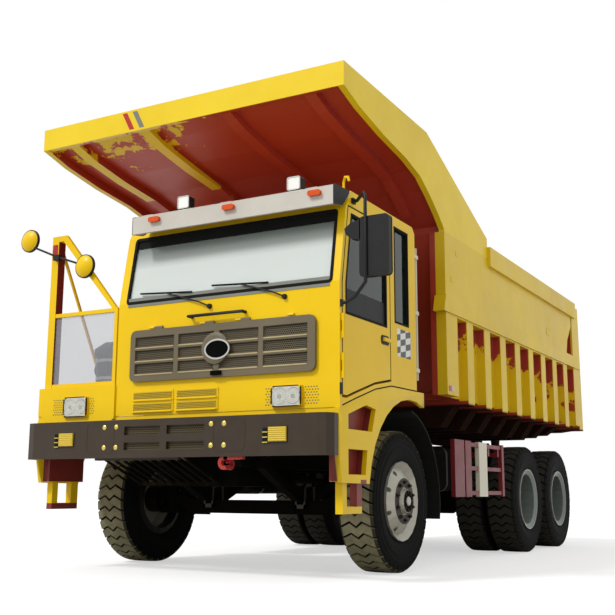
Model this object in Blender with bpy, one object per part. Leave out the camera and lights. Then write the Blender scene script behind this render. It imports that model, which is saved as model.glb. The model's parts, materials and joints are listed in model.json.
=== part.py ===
"""Mining dump truck: a cab-over 6x4 wide-body tipper with a canopied rock body.

Lengths are metres. X points to the truck's left, Y to its rear and Z up. Every size along the
truck is measured from the front axle, and the whole truck hangs on one empty that puts its
middle over the origin.
"""

import math

import bmesh
import bpy
from mathutils import Vector

# Clearances
GAP = 0.0003
SWING_GAP = 0.005
PIN_GAP = 0.0005

# Wheels and axles. Heights are drawn over AXLE_Z, and the truck is set on its tyres at the end
AXLE_Z = 0.685
TYRE_RADIUS = 0.685
TYRE_WIDTH = 0.375
TREAD_WIDTH = 0.345
TREAD_DEPTH = 0.028
BEAD_RADIUS = 0.350
BEAD_WIDTH = 0.300
LUGS = 20
LUG_SHARE = 0.74
LUG_SKEW = math.radians(3.0)
FLANK_RADIUS = 0.500
FLANGE_RADIUS = 0.385
FLANGE_CLEARANCE = 0.00325
BARREL_WALL = 0.025
FRONT_WHEEL_X = 1.467
REAR_WHEEL_X = 1.360
TWIN_SPACING = 0.420
BOGIE_Y = 4.665
TYRE_SPACE = 0.128
MIDDLE_AXLE_Y = BOGIE_Y - TYRE_RADIUS - TYRE_SPACE / 2
REAR_AXLE_Y = BOGIE_Y + TYRE_RADIUS + TYRE_SPACE / 2
KINGPIN_X = 1.120
KINGPIN_RADIUS = 0.040
EYE_HEIGHT = 0.170
FRONT_SPINDLE_RADIUS = 0.075
REAR_SPINDLE_RADIUS = 0.090
AXLE_TUBE_RADIUS = 0.110
BANJO_RADIUS = 0.240

# Frame
FRAME_FRONT_Y = -1.500
FRAME_REAR_Y = 6.150
RAIL_INNER_X = 0.410
RAIL_OUTER_X = 0.490
RAIL_BOTTOM = 1.000
RAIL_TOP = 1.380
SPRING_X = 0.570
SPRING_WIDTH = 0.090
TRUNNION_Z = 0.920
TRUNNION_RADIUS = 0.060
FRONT_SPRING_HALF = 0.850
SPRING_END_TOP = 1.020
TIP_BRACKET_X = 0.520
TIP_EAR_X = (0.600, 0.660)
TIP_PIN_END = 0.680
MUDGUARD_INNER_X = 1.250
MUDGUARD_RADIUS = TYRE_RADIUS + 0.215
MUDGUARD_WALL = 0.020
MUDGUARD_ARM_Y = 0.830
MUDGUARD_ARM_Z = 1.140

# Front end
HALF_WIDTH = 1.743
BUMPER_FRONT_Y = -1.689
BUMPER_REAR_Y = -1.530
BUMPER_BOTTOM = 1.076
BUMPER_TOP = 1.435
PLATE = 0.030
SHEET = 0.043

# Cab
CAB_RIGHT_X = -0.741
CAB_FRONT_Y = -1.500
CAB_REAR_Y = 0.200
CAB_WALL = 0.060
CAB_ROOF = 3.480
BROW_Z = 2.600
SCREEN_TOP_Y = -1.380
SCREEN_TOP_Z = 3.300
ROOF_FRONT_Y = -1.280
CAB_FLOOR = 1.800
COWL_Z = 2.450
FIREWALL_Y = -1.050
GLASS = 0.012
# The cab and the skirt share this seam, (y, z), from the front to the rear of the front wheel
SEAM = ((-1.513, 1.485), (-1.194, 1.583), (-0.784, 1.701), (-0.425, 1.764), (0.384, 1.771))

# Doors, windows and the grille flap
CAB_LEFT_X = HALF_WIDTH
DRIVER_X = CAB_LEFT_X - 0.593
LEFT_DOOR_Y = (-1.455, -0.430)
RIGHT_DOOR_Y = (-0.930, -0.100)
LEFT_DOOR_TOP = 3.330
RIGHT_DOOR_Z = (1.870, 3.330)
DOOR_THICK = 0.050
LEFT_WINDOW = ((-1.390, -0.510), 2.320, 3.270, True)
RIGHT_WINDOW = ((-0.860, -0.170), 2.320, 3.270, False)
REAR_WINDOW = ((-0.330, 0.020), (2.400, 3.380))
SCREEN_X = (CAB_RIGHT_X + 0.101, CAB_LEFT_X - 0.083)
SCREEN_Z = (2.600, 3.290)
GRILLE_X = (CAB_RIGHT_X + 0.191, CAB_LEFT_X - 0.226)
GRILLE_Z = (1.810, 2.315)
GRILLE_HINGE = (-1.5200, 2.332)
HINGE_RADIUS = 0.014
HINGE_HALF = 0.050
HINGE_LUG = 0.060
DOOR_HINGE_Y = LEFT_DOOR_Y[0] - 0.015
DOOR_HINGE_OUT = 0.020
DOOR_FOOT_GAP = 0.012
DOOR_FOOT_FLAT = 0.090
LEFT_HINGE = (CAB_LEFT_X + DOOR_HINGE_OUT, DOOR_HINGE_Y)
RIGHT_HINGE = (CAB_RIGHT_X - DOOR_HINGE_OUT, RIGHT_DOOR_Y[0] - 0.015)
LEFT_HINGE_Z = (1.850, 2.200)
RIGHT_HINGE_Z = (2.100, 3.000)
GRILLE_LUGS = (-0.300, 0.300, 0.700, GRILLE_X[1] - 0.257)

# The skirt's edge below the seam: the arch over the front wheel, then its foot, (y, z)
ARCH_CENTRE = (0.050, 0.690)
ARCH_RADIUS = 0.985
SKIRT_REAR_Y = 0.384
SKIRT_FOOT = ((-1.465, 0.850), (-1.513, 1.073))
WELL_X = (HALF_WIDTH - 0.583, HALF_WIDTH - 0.023)
STEP_X = (WELL_X[0] + 0.003, HALF_WIDTH - 0.172)
UPPER_STEP = ((-1.340, 1.310), (-0.860, 1.310), (-0.780, 1.520), (-0.980, 1.545), (-1.340, 1.440))
LOWER_STEP = ((-1.340, 0.920), (-1.000, 0.920), (-0.960, 1.140), (-1.340, 1.140))

# Bed
BED_HALF_WIDTH = 1.827
BED_INNER_X = 1.650
BED_WALL_X = 1.720
BED_FRONT_Y = 0.850
BED_REAR_Y = 6.800
BED_BOTTOM = 1.800
BED_FLOOR = 1.880
BED_TOP = 3.750
BED_SHOULDER_Y = 2.305
BED_SHOULDER_Z = 3.600
BELT_LOW = 2.680
BELT_HIGH = 2.880
RIB_FIRST_Y = 1.600
RIB_PITCH = 0.606
RIBS = 8
RIB_WIDTH = 0.210
TAIL_POST_Y = 6.360
TIP_Y = 6.000
TIP_Z = 1.450
TIP_PIN_RADIUS = 0.050
BEAM_X = 0.430
BEAM_WIDTH = 0.080
BEAM_BOTTOM = 1.420

# Canopy
CANOPY_FRONT_Y = -1.574
CANOPY_TOP = 4.620
CANOPY_LIP = 4.386
CANOPY_PLATE = 0.067
CANOPY_RIB_X = (-1.440, -0.500, 0.500, 1.440)
# The canopy's side plate, (y, z): its lower edge from the front lip back to the bed
CANOPY_UNDER = ((CANOPY_FRONT_Y, CANOPY_LIP), (-1.238, 4.288), (-0.729, 4.192), (-0.169, 4.121), (0.196, 4.036),
                (0.470, 3.891), (0.693, 3.747), (BED_FRONT_Y, 3.625))

# Hoist: its lower eye, its upper pin and its tubes, from the barrel inwards
HOIST_FOOT = (0.0, 0.600, 1.150)
HOIST_HEAD = (0.0, 0.700, 3.300)
HOIST_RADII = (0.115, 0.095, 0.075, 0.055)
HOIST_PIN_RADIUS = 0.038

TRUCK_SHIFT = -(BED_REAR_Y + BUMPER_FRONT_Y) / 2

bpy.context.preferences.edit.use_global_undo = False
for old in list(bpy.data.objects):
    bpy.data.objects.remove(old, do_unlink=True)


def finish(name, colour, roughness, metallic=0.0):
    """A plain surface: its colour as linear red, green and blue."""
    made = bpy.data.materials.new(name)
    made.use_nodes = True
    shader = made.node_tree.nodes["Principled BSDF"]
    shader.inputs["Base Color"].default_value = (*colour, 1.0)
    shader.inputs["Roughness"].default_value = roughness
    shader.inputs["Metallic"].default_value = metallic
    return made


YELLOW = finish("yellow_enamel", (0.760, 0.520, 0.020), 0.35)
MAROON = finish("maroon_enamel", (0.180, 0.030, 0.022), 0.45)
BLACK = finish("chassis_black", (0.020, 0.020, 0.020), 0.55)
UMBER = finish("umber_enamel", (0.070, 0.052, 0.038), 0.45)
OLIVE = finish("grille_enamel", (0.150, 0.130, 0.080), 0.45)
WHITE = finish("white_enamel", (0.800, 0.800, 0.780), 0.35)
SILVER = finish("silver_wheel_enamel", (0.500, 0.490, 0.420), 0.40, 0.4)
GREY = finish("grey_wheel_enamel", (0.200, 0.230, 0.220), 0.45, 0.2)
RUBBER = finish("tyre_rubber", (0.025, 0.025, 0.023), 0.85)
GLAZING = finish("tinted_glass", (0.020, 0.030, 0.030), 0.08)
STEEL = finish("bright_steel", (0.550, 0.550, 0.530), 0.30, 0.9)
TRIM = finish("cab_trim", (0.060, 0.060, 0.060), 0.75)

TRUCK = bpy.data.objects.new("truck", None)
TRUCK.location = (0.0, TRUCK_SHIFT, TYRE_RADIUS - AXLE_Z)
bpy.context.scene.collection.objects.link(TRUCK)


def placed(point, axis, along):
    """A point of an outline set at a place along the axis that crosses it."""
    if axis == "x":
        return (along, point[0], point[1])
    if axis == "y":
        return (point[0], along, point[1])
    return (point[0], point[1], along)


def prism(outline, axis, ends):
    """An outline, (y, z), (x, z) or (x, y), drawn out along the axis that crosses it."""
    count = len(outline)
    points = [placed(point, axis, end) for end in ends for point in outline]
    faces = [tuple(range(count)), tuple(range(2 * count - 1, count - 1, -1))]
    for i in range(count):
        j = (i + 1) % count
        faces.append((i, j, count + j, count + i))
    return points, faces


def box(x, y, z):
    """A box between pairs of places on the three axes."""
    return prism([(x[0], y[0]), (x[1], y[0]), (x[1], y[1]), (x[0], y[1])], "z", z)


def turned(profile, axis, centre, sides, half_step=False):
    """A profile of (place along the axis, radius) turned round the axis through a centre.

    A profile that starts and ends on the axis is open there; any other is a closed loop.
    """
    points = []
    rings = []
    start = math.pi / sides if half_step else 0.0
    for along, radius in profile:
        ring = []
        for i in range(sides if radius > 0.0 else 1):
            angle = start - math.pi / 2 + math.tau * i / sides
            across = (radius * math.cos(angle), radius * math.sin(angle))
            ring.append(len(points))
            points.append(placed(across, axis, along))
        rings.append(ring)
    closed = profile[0][1] > 0.0
    faces = []
    for k in range(len(rings) if closed else len(rings) - 1):
        a, b = rings[k], rings[(k + 1) % len(rings)]
        for i in range(sides):
            j = (i + 1) % sides
            corners = [a[i % len(a)], a[j % len(a)], b[j % len(b)], b[i % len(b)]]
            faces.append(tuple(dict.fromkeys(corners)))
    moved = [tuple(Vector(point) + Vector(centre)) for point in points]
    return moved, faces


def rod(start, end, radius, sides=12, half_step=False):
    """A round bar between two points."""
    start = Vector(start)
    run = Vector(end) - start
    profile = [(0.0, 0.0), (0.0, radius), (run.length, radius), (run.length, 0.0)]
    points, faces = turned(profile, "z", (0.0, 0.0, 0.0), sides, half_step)
    turn = Vector((0.0, 0.0, 1.0)).rotation_difference(run).to_matrix()
    return [tuple(turn @ Vector(point) + start) for point in points], faces


def pipe(route, radius, sides=8):
    """A bent round bar through the points of a route, mitred at each bend."""
    route = [Vector(point) for point in route]
    points = []
    side = (route[1] - route[0]).orthogonal().normalized()
    for i, point in enumerate(route):
        before = (point - route[i - 1]).normalized() if i else None
        after = (route[i + 1] - point).normalized() if i + 1 < len(route) else None
        ahead = after or before
        back = before or after
        middle = (ahead + back).normalized()
        side = (side - middle * side.dot(middle)).normalized()
        up = middle.cross(side)
        stretch = 1.0 / max(0.3, middle.dot(ahead))
        for k in range(sides):
            angle = math.tau * k / sides
            across = side * math.cos(angle) + up * math.sin(angle)
            bend = ahead - middle * ahead.dot(middle)
            if bend.length > 1e-6:
                bend.normalize()
                across += bend * across.dot(bend) * (stretch - 1.0)
            points.append(tuple(point + across * radius))
    faces = [tuple(range(sides)), tuple(range(len(points) - 1, len(points) - 1 - sides, -1))]
    for i in range(len(route) - 1):
        for k in range(sides):
            j = (k + 1) % sides
            faces.append((i * sides + k, i * sides + j, (i + 1) * sides + j, (i + 1) * sides + k))
    return points, faces


def arc(centre, radius, start, stop, steps):
    """Points on an arc of an outline, angles in degrees from its first axis to its second."""
    angles = [math.radians(start + (stop - start) * i / steps) for i in range(steps + 1)]
    return [(centre[0] + radius * math.cos(a), centre[1] + radius * math.sin(a)) for a in angles]


def mirrored(form):
    """The same form on the truck's other side."""
    points, faces = form
    return [(-x, y, z) for x, y, z in points], faces


def both(form):
    """A form and its mirror image."""
    return [form, mirrored(form)]


def on_side(side, forms):
    """Forms drawn on the left, put on the side that is +1 for left and -1 for right."""
    return forms if side > 0 else [mirrored(form) for form in forms]


def mesh_of(name, forms, pivot):
    """One mesh of several closed forms, measured from a pivot."""
    built = bmesh.new()
    for points, faces in forms:
        corners = [built.verts.new(Vector(point) - Vector(pivot)) for point in points]
        for face in faces:
            built.faces.new([corners[i] for i in face])
    bmesh.ops.recalc_face_normals(built, faces=built.faces)
    mesh = bpy.data.meshes.new(name)
    built.to_mesh(mesh)
    built.free()
    return mesh


def helper(name, forms, pivot):
    """A hidden object that another is joined with or cut by."""
    made = bpy.data.objects.new(name, mesh_of(name, forms, pivot))
    made.location = pivot
    made.parent = TRUCK
    made.hide_render = True
    made.display_type = "WIRE"
    bpy.context.scene.collection.objects.link(made)
    return made


def piece(name, surface, forms, *steps, pivot=(0.0, 0.0, 0.0)):
    """One named solid: its forms joined, then each step, ("cut" or "join", forms), in turn."""
    made = bpy.data.objects.new(name, mesh_of(name, forms[:1], pivot))
    made.location = pivot
    made.parent = TRUCK
    bpy.context.scene.collection.objects.link(made)
    made.data.materials.append(surface)
    if len(forms) > 1:
        steps = (("join", forms[1:]), *steps)
    for number, (kind, others) in enumerate(steps):
        change = made.modifiers.new(f"{kind}_{number}", "BOOLEAN")
        change.operation = "UNION" if kind == "join" else "DIFFERENCE"
        change.solver = "EXACT"
        change.use_self = True
        change.object = helper(f"{name}_{kind}_{number}", others, pivot)
    return made


def round_smooth(made, angle=35.0):
    """Soft shading on a round piece, with its real edges kept."""
    made.data.shade_smooth()
    made.data.set_sharp_from_angle(angle=math.radians(angle))


def rails_at(z, y):
    """A pair of blocks on the two frame rails."""
    return both(box((RAIL_INNER_X, RAIL_OUTER_X), y, z))


def frame():
    """Two rails with their crossmembers and everything welded to them."""
    nose_bottom = RAIL_BOTTOM + 0.120
    outline = [
        (FRAME_FRONT_Y, nose_bottom), (-1.200, nose_bottom), (-1.080, RAIL_BOTTOM),
        (FRAME_REAR_Y, RAIL_BOTTOM), (FRAME_REAR_Y, RAIL_TOP), (FRAME_FRONT_Y, RAIL_TOP),
    ]
    forms = both(prism(outline, "x", (RAIL_INNER_X, RAIL_OUTER_X)))
    lap = RAIL_INNER_X + 0.020
    for y in (-1.300, 1.100, 2.250, 3.300, 4.665, 5.850):
        forms.append(box((-lap, lap), (y - 0.050, y + 0.050), (1.150, 1.330)))
    # Seats for the cab at its front sheet and its rear wall
    forms += both(box((RAIL_INNER_X + 0.010, RAIL_OUTER_X - 0.010),
                      (FRAME_FRONT_Y + 0.010, FRAME_FRONT_Y + 0.060),
                      (RAIL_TOP - 0.050, cab_bottom(CAB_FRONT_Y) - GAP)))
    forms += both(box((RAIL_INNER_X + 0.010, RAIL_OUTER_X - 0.010), (0.050, 0.150),
                      (RAIL_TOP - 0.050, cab_bottom(0.1) - GAP)))
    # Spring hangers, front ones at the springs' ends and one over each end of the trunnion
    hanger_x = (RAIL_OUTER_X - 0.020, SPRING_X + SPRING_WIDTH / 2)
    for y in (-FRONT_SPRING_HALF, FRONT_SPRING_HALF):
        forms += both(box(hanger_x, (y - 0.070, y + 0.070), (SPRING_END_TOP + GAP, 1.150)))
    trunnion_y = (MIDDLE_AXLE_Y + REAR_AXLE_Y) / 2
    seat = (TRUNNION_Z + TRUNNION_RADIUS + GAP, RAIL_BOTTOM + 0.030)
    forms += rails_at(seat, (trunnion_y - 0.100, trunnion_y + 0.100))
    # Pads that the bed's beams rest over
    for y in (1.700, 3.100, 4.500, 5.600):
        forms += rails_at((RAIL_TOP - 0.020, BEAM_BOTTOM - SWING_GAP), (y - 0.100, y + 0.100))
    # The tipping pin and its brackets
    bracket = [(TIP_Y - 0.120, RAIL_TOP - 0.150), (TIP_Y + 0.120, RAIL_TOP - 0.150)]
    bracket += arc((TIP_Y, TIP_Z), 0.080, 0.0, 180.0, 8)
    forms += both(prism(bracket, "x", (RAIL_OUTER_X - 0.010, TIP_BRACKET_X)))
    forms.append(rod((-TIP_PIN_END, TIP_Y, TIP_Z), (TIP_PIN_END, TIP_Y, TIP_Z), TIP_PIN_RADIUS, 16))
    # The hoist's foot pin
    foot = Vector(HOIST_FOOT)
    reach = Vector((lap, 0.0, 0.0))
    forms.append(rod(foot - reach, foot + reach, HOIST_PIN_RADIUS, 12))
    # Mudguard arms
    forms += both(rod((RAIL_OUTER_X - 0.020, MUDGUARD_ARM_Y, MUDGUARD_ARM_Z),
                      (MUDGUARD_INNER_X - GAP, MUDGUARD_ARM_Y, MUDGUARD_ARM_Z), 0.025, 8))
    piece("chassis_frame", BLACK, forms)


def cab_bottom(y):
    """Height of the seam under the cab at a place along the truck."""
    for (y0, z0), (y1, z1) in zip(SEAM, SEAM[1:]):
        if y0 <= y <= y1:
            return z0 + (z1 - z0) * (y - y0) / (y1 - y0)
    return SEAM[-1][1]


def bumper():
    """A deep pressed bumper with slots, lamp surrounds, a tow hook and the guard bars below."""
    bend = HALF_WIDTH - 0.123
    outer = [(HALF_WIDTH, BUMPER_REAR_Y), (HALF_WIDTH, -1.600), (HALF_WIDTH - 0.043, -1.670),
             (bend, BUMPER_FRONT_Y)]
    inner = [(HALF_WIDTH - PLATE, BUMPER_REAR_Y), (HALF_WIDTH - PLATE, -1.600 + PLATE * 0.8),
             (HALF_WIDTH - 0.043 - PLATE, -1.670 + PLATE * 0.8), (bend - 0.010, BUMPER_FRONT_Y + PLATE)]
    outline = outer + [(-x, y) for x, y in outer[::-1]] + [(-x, y) for x, y in inner]
    outline += inner[::-1]
    forms = [prism(outline, "z", (BUMPER_BOTTOM, BUMPER_TOP))]
    forms += both(box((RAIL_INNER_X, RAIL_OUTER_X),
                      (BUMPER_FRONT_Y + PLATE / 2, FRAME_FRONT_Y - GAP), (1.130, 1.370)))
    cuts = []
    for x in ((-0.457, -0.035), (0.041, 0.465)):
        for z in ((1.150, 1.220), (1.290, 1.370)):
            cuts.append(box(x, (BUMPER_FRONT_Y - 0.050, BUMPER_FRONT_Y + 0.050), z))
    lamps = both(box((HALF_WIDTH - 0.663, HALF_WIDTH - 0.407),
                     (BUMPER_FRONT_Y - 0.006, BUMPER_FRONT_Y + 0.020), (1.190, 1.330)))
    # Guard bars from the bumper's lower edge back under the radiator
    top = (BUMPER_FRONT_Y + 0.050, BUMPER_BOTTOM + 0.020)
    low = (-1.000, 0.840)
    bars = [box((-0.820, 0.170), (top[0] - 0.034, top[0] + 0.020), (top[1] - 0.040, top[1] + 0.010))]
    bars.append(box((-0.820, 0.170), (low[0] - 0.015, low[0] + 0.025), (low[1] - 0.015, low[1] + 0.025)))
    count = 10
    for i in range(count):
        x = -0.800 + 0.950 * i / (count - 1)
        strip = [top, low, (low[0], low[1] + 0.028), (top[0] + 0.010, top[1] + 0.010)]
        bars.append(prism(strip, "x", (x - 0.012, x + 0.012)))
    hook = arc((-1.600, 1.010), 0.050, -160.0, 160.0, 8) + arc((-1.600, 1.010), 0.022, 160.0, -160.0, 8)
    bars.append(prism(hook, "x", (0.670, 0.710)))
    bars.append(box((0.670, 0.710), (BUMPER_FRONT_Y + 0.015, -1.590), (1.045, 1.130)))
    piece("front_bumper", UMBER, forms, ("cut", cuts), ("join", lamps + bars))


def screen_y(z):
    """Front face of the cab at a height: upright below the brow, then leaning back."""
    if z <= BROW_Z:
        return CAB_FRONT_Y
    if z <= SCREEN_TOP_Z:
        return CAB_FRONT_Y + (SCREEN_TOP_Y - CAB_FRONT_Y) * (z - BROW_Z) / (SCREEN_TOP_Z - BROW_Z)
    share = (z - SCREEN_TOP_Z) / (CAB_ROOF - SCREEN_TOP_Z)
    return SCREEN_TOP_Y + (ROOF_FRONT_Y - SCREEN_TOP_Y) * share


def door_outline(y, low, top, leans):
    """A door's edge: its foot is flat near the hinge and then follows the seam.

    Its front may lean back with the windscreen.
    """
    flat = y[0] + DOOR_FOOT_FLAT
    outline = [(y[0], low(flat)), (flat, low(flat))]
    outline += [(sy, low(sy)) for sy, _ in SEAM if flat < sy < y[1]]
    outline += [(y[1], low(y[1])), (y[1], top)]
    if not leans:
        return outline + [(y[0], top)]
    return outline + [(y[0] + screen_y(top) - CAB_FRONT_Y, top), (y[0], BROW_Z)]


def left_door_foot(y):
    """The left door ends a little above the seam."""
    return cab_bottom(y) + 0.060


def right_door_foot(_y):
    """The right door ends above the deck."""
    return RIGHT_DOOR_Z[0]


def widened(span, by):
    """A pair of places moved apart, or together where by is less than nothing."""
    return (span[0] - by, span[1] + by)


def window_outline(window, shrink=0.0):
    """A door window's edge, (y, z)."""
    y, low, top, leans = window
    y = widened(y, -shrink)
    return door_outline(y, lambda _y: low + shrink, top - shrink, leans)


def hinge_lugs(x, y, places):
    """Fixed halves of upright hinges: a lug over and a lug under each place."""
    forms = []
    for z in places:
        for low in (z - HINGE_HALF - HINGE_LUG, z + HINGE_HALF):
            high = low + HINGE_LUG
            forms.append(rod((x, y, low), (x, y, high), HINGE_RADIUS, 8))
            inner = x - math.copysign(DOOR_HINGE_OUT + 0.010, x)
            forms.append(box(sorted((inner, x)), (y - 0.012, y), (low, high)))
    return forms


def hinge_barrels(x, y, places):
    """Moving halves of upright hinges."""
    forms = []
    for z in places:
        half = HINGE_HALF - GAP
        forms.append(rod((x, y, z - half), (x, y, z + half), HINGE_RADIUS, 8))
        outward = math.copysign(1.0, x)
        strap = sorted((x - outward * (DOOR_HINGE_OUT - SWING_GAP), x))
        forms.append(box(strap, (y, y + 0.060), (z - 0.045, z + 0.045)))
        root = sorted((x - outward * (DOOR_HINGE_OUT + 0.010), x))
        forms.append(box(root, (y + 0.022, y + 0.060), (z - 0.045, z + 0.045)))
    return forms


def cab_shell():
    """The hollow cab: its walls, roof, floor and nose, with doorways and windows cut."""
    outline = [(y, z + GAP) for y, z in SEAM[1:-1]]
    outline.insert(0, (CAB_FRONT_Y, cab_bottom(CAB_FRONT_Y) + GAP))
    outline.append((CAB_REAR_Y, cab_bottom(CAB_REAR_Y) + GAP))
    outline += [(CAB_REAR_Y, CAB_ROOF - 0.060), (CAB_REAR_Y - 0.060, CAB_ROOF), (ROOF_FRONT_Y, CAB_ROOF),
                (SCREEN_TOP_Y, SCREEN_TOP_Z), (CAB_FRONT_Y, BROW_Z)]
    shell = prism(outline, "x", (CAB_RIGHT_X, CAB_LEFT_X))
    inside_x = (CAB_RIGHT_X + CAB_WALL, CAB_LEFT_X - CAB_WALL)
    room = [
        (FIREWALL_Y, CAB_FLOOR + 0.010), (CAB_REAR_Y - CAB_WALL, CAB_FLOOR + 0.010),
        (CAB_REAR_Y - CAB_WALL, CAB_ROOF - CAB_WALL), (ROOF_FRONT_Y + 0.030, CAB_ROOF - CAB_WALL),
        (SCREEN_TOP_Y + CAB_WALL, SCREEN_TOP_Z), (CAB_FRONT_Y + CAB_WALL, BROW_Z - 0.010),
        (CAB_FRONT_Y + CAB_WALL, COWL_Z), (FIREWALL_Y, COWL_Z),
    ]
    cuts = [prism(room, "x", inside_x)]
    # The bay behind the grille is open below, where the radiator stands
    cuts.append(box((-0.600, 1.600), (CAB_FRONT_Y + CAB_WALL, FIREWALL_Y - CAB_WALL), (1.350, COWL_Z - CAB_WALL)))
    cuts.append(box((GRILLE_X[0] + 0.050, GRILLE_X[1] - 0.050), (-1.600, CAB_FRONT_Y + CAB_WALL + 0.010),
                    (GRILLE_Z[0] + 0.050, GRILLE_Z[1] - 0.050)))
    for x in ((-0.509, -0.046), (0.011, 0.467)):
        cuts.append(box(x, (-1.600, CAB_FRONT_Y + CAB_WALL + 0.010), (1.515, 1.717)))
    cuts.append(box(SCREEN_X, (-1.700, -1.260), SCREEN_Z))
    wall = (CAB_LEFT_X - CAB_WALL - 0.010, CAB_LEFT_X + 0.010)
    y = widened(LEFT_DOOR_Y, SWING_GAP)
    cuts.append(prism(door_outline(y, lambda at: left_door_foot(at) - DOOR_FOOT_GAP, LEFT_DOOR_TOP + SWING_GAP, True),
                      "x", wall))
    cuts.append(box(wall, *REAR_WINDOW))
    wall = (CAB_RIGHT_X - 0.010, CAB_RIGHT_X + CAB_WALL + 0.010)
    cuts.append(box(wall, widened(RIGHT_DOOR_Y, SWING_GAP), widened(RIGHT_DOOR_Z, SWING_GAP)))
    # Louvre slats, the left headlamp, the step-over handle and the fixed hinge halves
    added = []
    for x in ((-0.529, -0.026), (-0.009, 0.487)):
        for row in range(6):
            z = 1.520 + 0.036 * row
            slat = [(CAB_FRONT_Y - 0.006, z), (CAB_FRONT_Y + 0.050, z + 0.028),
                    (CAB_FRONT_Y + 0.050, z + 0.038), (CAB_FRONT_Y - 0.006, z + 0.010)]
            added.append(prism(slat, "x", x))
    lamp_x = (CAB_LEFT_X - 0.673, CAB_LEFT_X - 0.368)
    added.append(box(lamp_x, (CAB_FRONT_Y - 0.025, CAB_FRONT_Y + 0.020), (1.510, 1.696)))
    added.append(pipe([(0.164, -1.480, 2.400), (0.164, -1.560, 2.400), (0.765, -1.560, 2.400),
                       (0.765, -1.480, 2.400)], 0.012, 6))
    added += hinge_lugs(*LEFT_HINGE, LEFT_HINGE_Z)
    added += hinge_lugs(*RIGHT_HINGE, RIGHT_HINGE_Z)
    for x in GRILLE_LUGS:
        added.append(rod((x - 0.030, *GRILLE_HINGE), (x + 0.030, *GRILLE_HINGE), 0.012, 8))
        added.append(box((x - 0.030, x + 0.030), (GRILLE_HINGE[0], CAB_FRONT_Y + 0.010),
                         (GRILLE_HINGE[1], GRILLE_HINGE[1] + 0.012)))
    piece("cab_shell", YELLOW, [shell], ("cut", cuts), ("join", added))


def grille_panel():
    """The front flap of four by three openings with its bare round boss and latch."""
    y = (CAB_FRONT_Y - SWING_GAP - PLATE, CAB_FRONT_Y - SWING_GAP)
    outline = arc((GRILLE_X[1] - 0.060, GRILLE_Z[1] - 0.060), 0.060, 0.0, 90.0, 3)
    outline += arc((GRILLE_X[0] + 0.060, GRILLE_Z[1] - 0.060), 0.060, 90.0, 180.0, 3)
    outline += arc((GRILLE_X[0] + 0.060, GRILLE_Z[0] + 0.060), 0.060, 180.0, 270.0, 3)
    outline += arc((GRILLE_X[1] - 0.060, GRILLE_Z[0] + 0.060), 0.060, 270.0, 360.0, 3)
    cuts = []
    for x in ((-0.490, -0.020), (0.030, 0.440), (0.500, 0.930), (0.980, 1.440)):
        for row in range(3):
            z = 1.880 + 0.130 * row
            cuts.append(box(x, widened(y, 0.010), (z, z + 0.105)))
    boss = [(y[0] - 0.020, 0.0), (y[0] - 0.020, 0.120), (y[0] - 0.012, 0.150), (y[1], 0.150), (y[1], 0.0)]
    added = [turned(boss, "y", (0.460, 0.0, 2.080), 20)]
    added.append(box((0.430, 0.490), (y[0] - 0.015, y[0] + 0.005), (1.828, 1.866)))
    for a, b in zip(GRILLE_LUGS, GRILLE_LUGS[1:]):
        ends = (a + 0.030 + GAP, min(b - 0.030 - GAP, a + 0.130))
        added.append(rod((ends[0], *GRILLE_HINGE), (ends[1], *GRILLE_HINGE), 0.012, 8))
        added.append(box(ends, (y[0] + 0.004, y[1] - 0.004), (GRILLE_Z[1] - 0.010, GRILLE_HINGE[1])))
    pivot = (0.5 * (GRILLE_X[0] + GRILLE_X[1]), *GRILLE_HINGE)
    piece("grille_panel", OLIVE, [prism(outline, "y", y)], ("cut", cuts), ("join", added), pivot=pivot)


def doors():
    """Two doors with their window frames, each hung at its front edge, and their glass."""
    for name, side_x, hinge, places, y, foot, top, window in (
        ("left", CAB_LEFT_X, LEFT_HINGE, LEFT_HINGE_Z, LEFT_DOOR_Y, left_door_foot, LEFT_DOOR_TOP, LEFT_WINDOW),
        ("right", CAB_RIGHT_X, RIGHT_HINGE, RIGHT_HINGE_Z, RIGHT_DOOR_Y, right_door_foot, RIGHT_DOOR_Z[1],
         RIGHT_WINDOW),
    ):
        inward = -math.copysign(1.0, side_x)
        skin = sorted((side_x, side_x + inward * DOOR_THICK))
        leaf = prism(door_outline(y, foot, top, window[3]), "x", skin)
        pane_x = sorted((side_x + inward * 0.020, side_x + inward * (0.020 + GLASS)))
        cuts = [prism(window_outline(window), "x", widened(skin, 0.010))]
        handle_x = sorted((side_x - inward * 0.025, side_x + inward * 0.010))
        added = hinge_barrels(*hinge, places)
        added.append(box(handle_x, (y[1] - 0.190, y[1] - 0.050), (2.180, 2.215)))
        pivot = (*hinge, 2.400)
        piece(f"door_{name}", YELLOW, [leaf], ("cut", cuts), ("join", added), pivot=pivot)
        piece(f"door_glass_{name}", GLAZING, [prism(window_outline(window, GAP), "x", pane_x)], pivot=pivot)


def glazing():
    """The windscreen and the fixed pane behind the left door."""
    low, high = SCREEN_Z[0] + GAP, SCREEN_Z[1] - GAP
    inset = 0.018
    pane = [(screen_y(low) + inset, low), (screen_y(low) + inset + GLASS, low),
            (screen_y(high) + inset + GLASS, high), (screen_y(high) + inset, high)]
    piece("windscreen", GLAZING, [prism(pane, "x", widened(SCREEN_X, -GAP))])
    pane_x = (CAB_LEFT_X - 0.040, CAB_LEFT_X - 0.040 + GLASS)
    piece("cab_side_glass", GLAZING, [box(pane_x, *(widened(span, -GAP) for span in REAR_WINDOW))])


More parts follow.
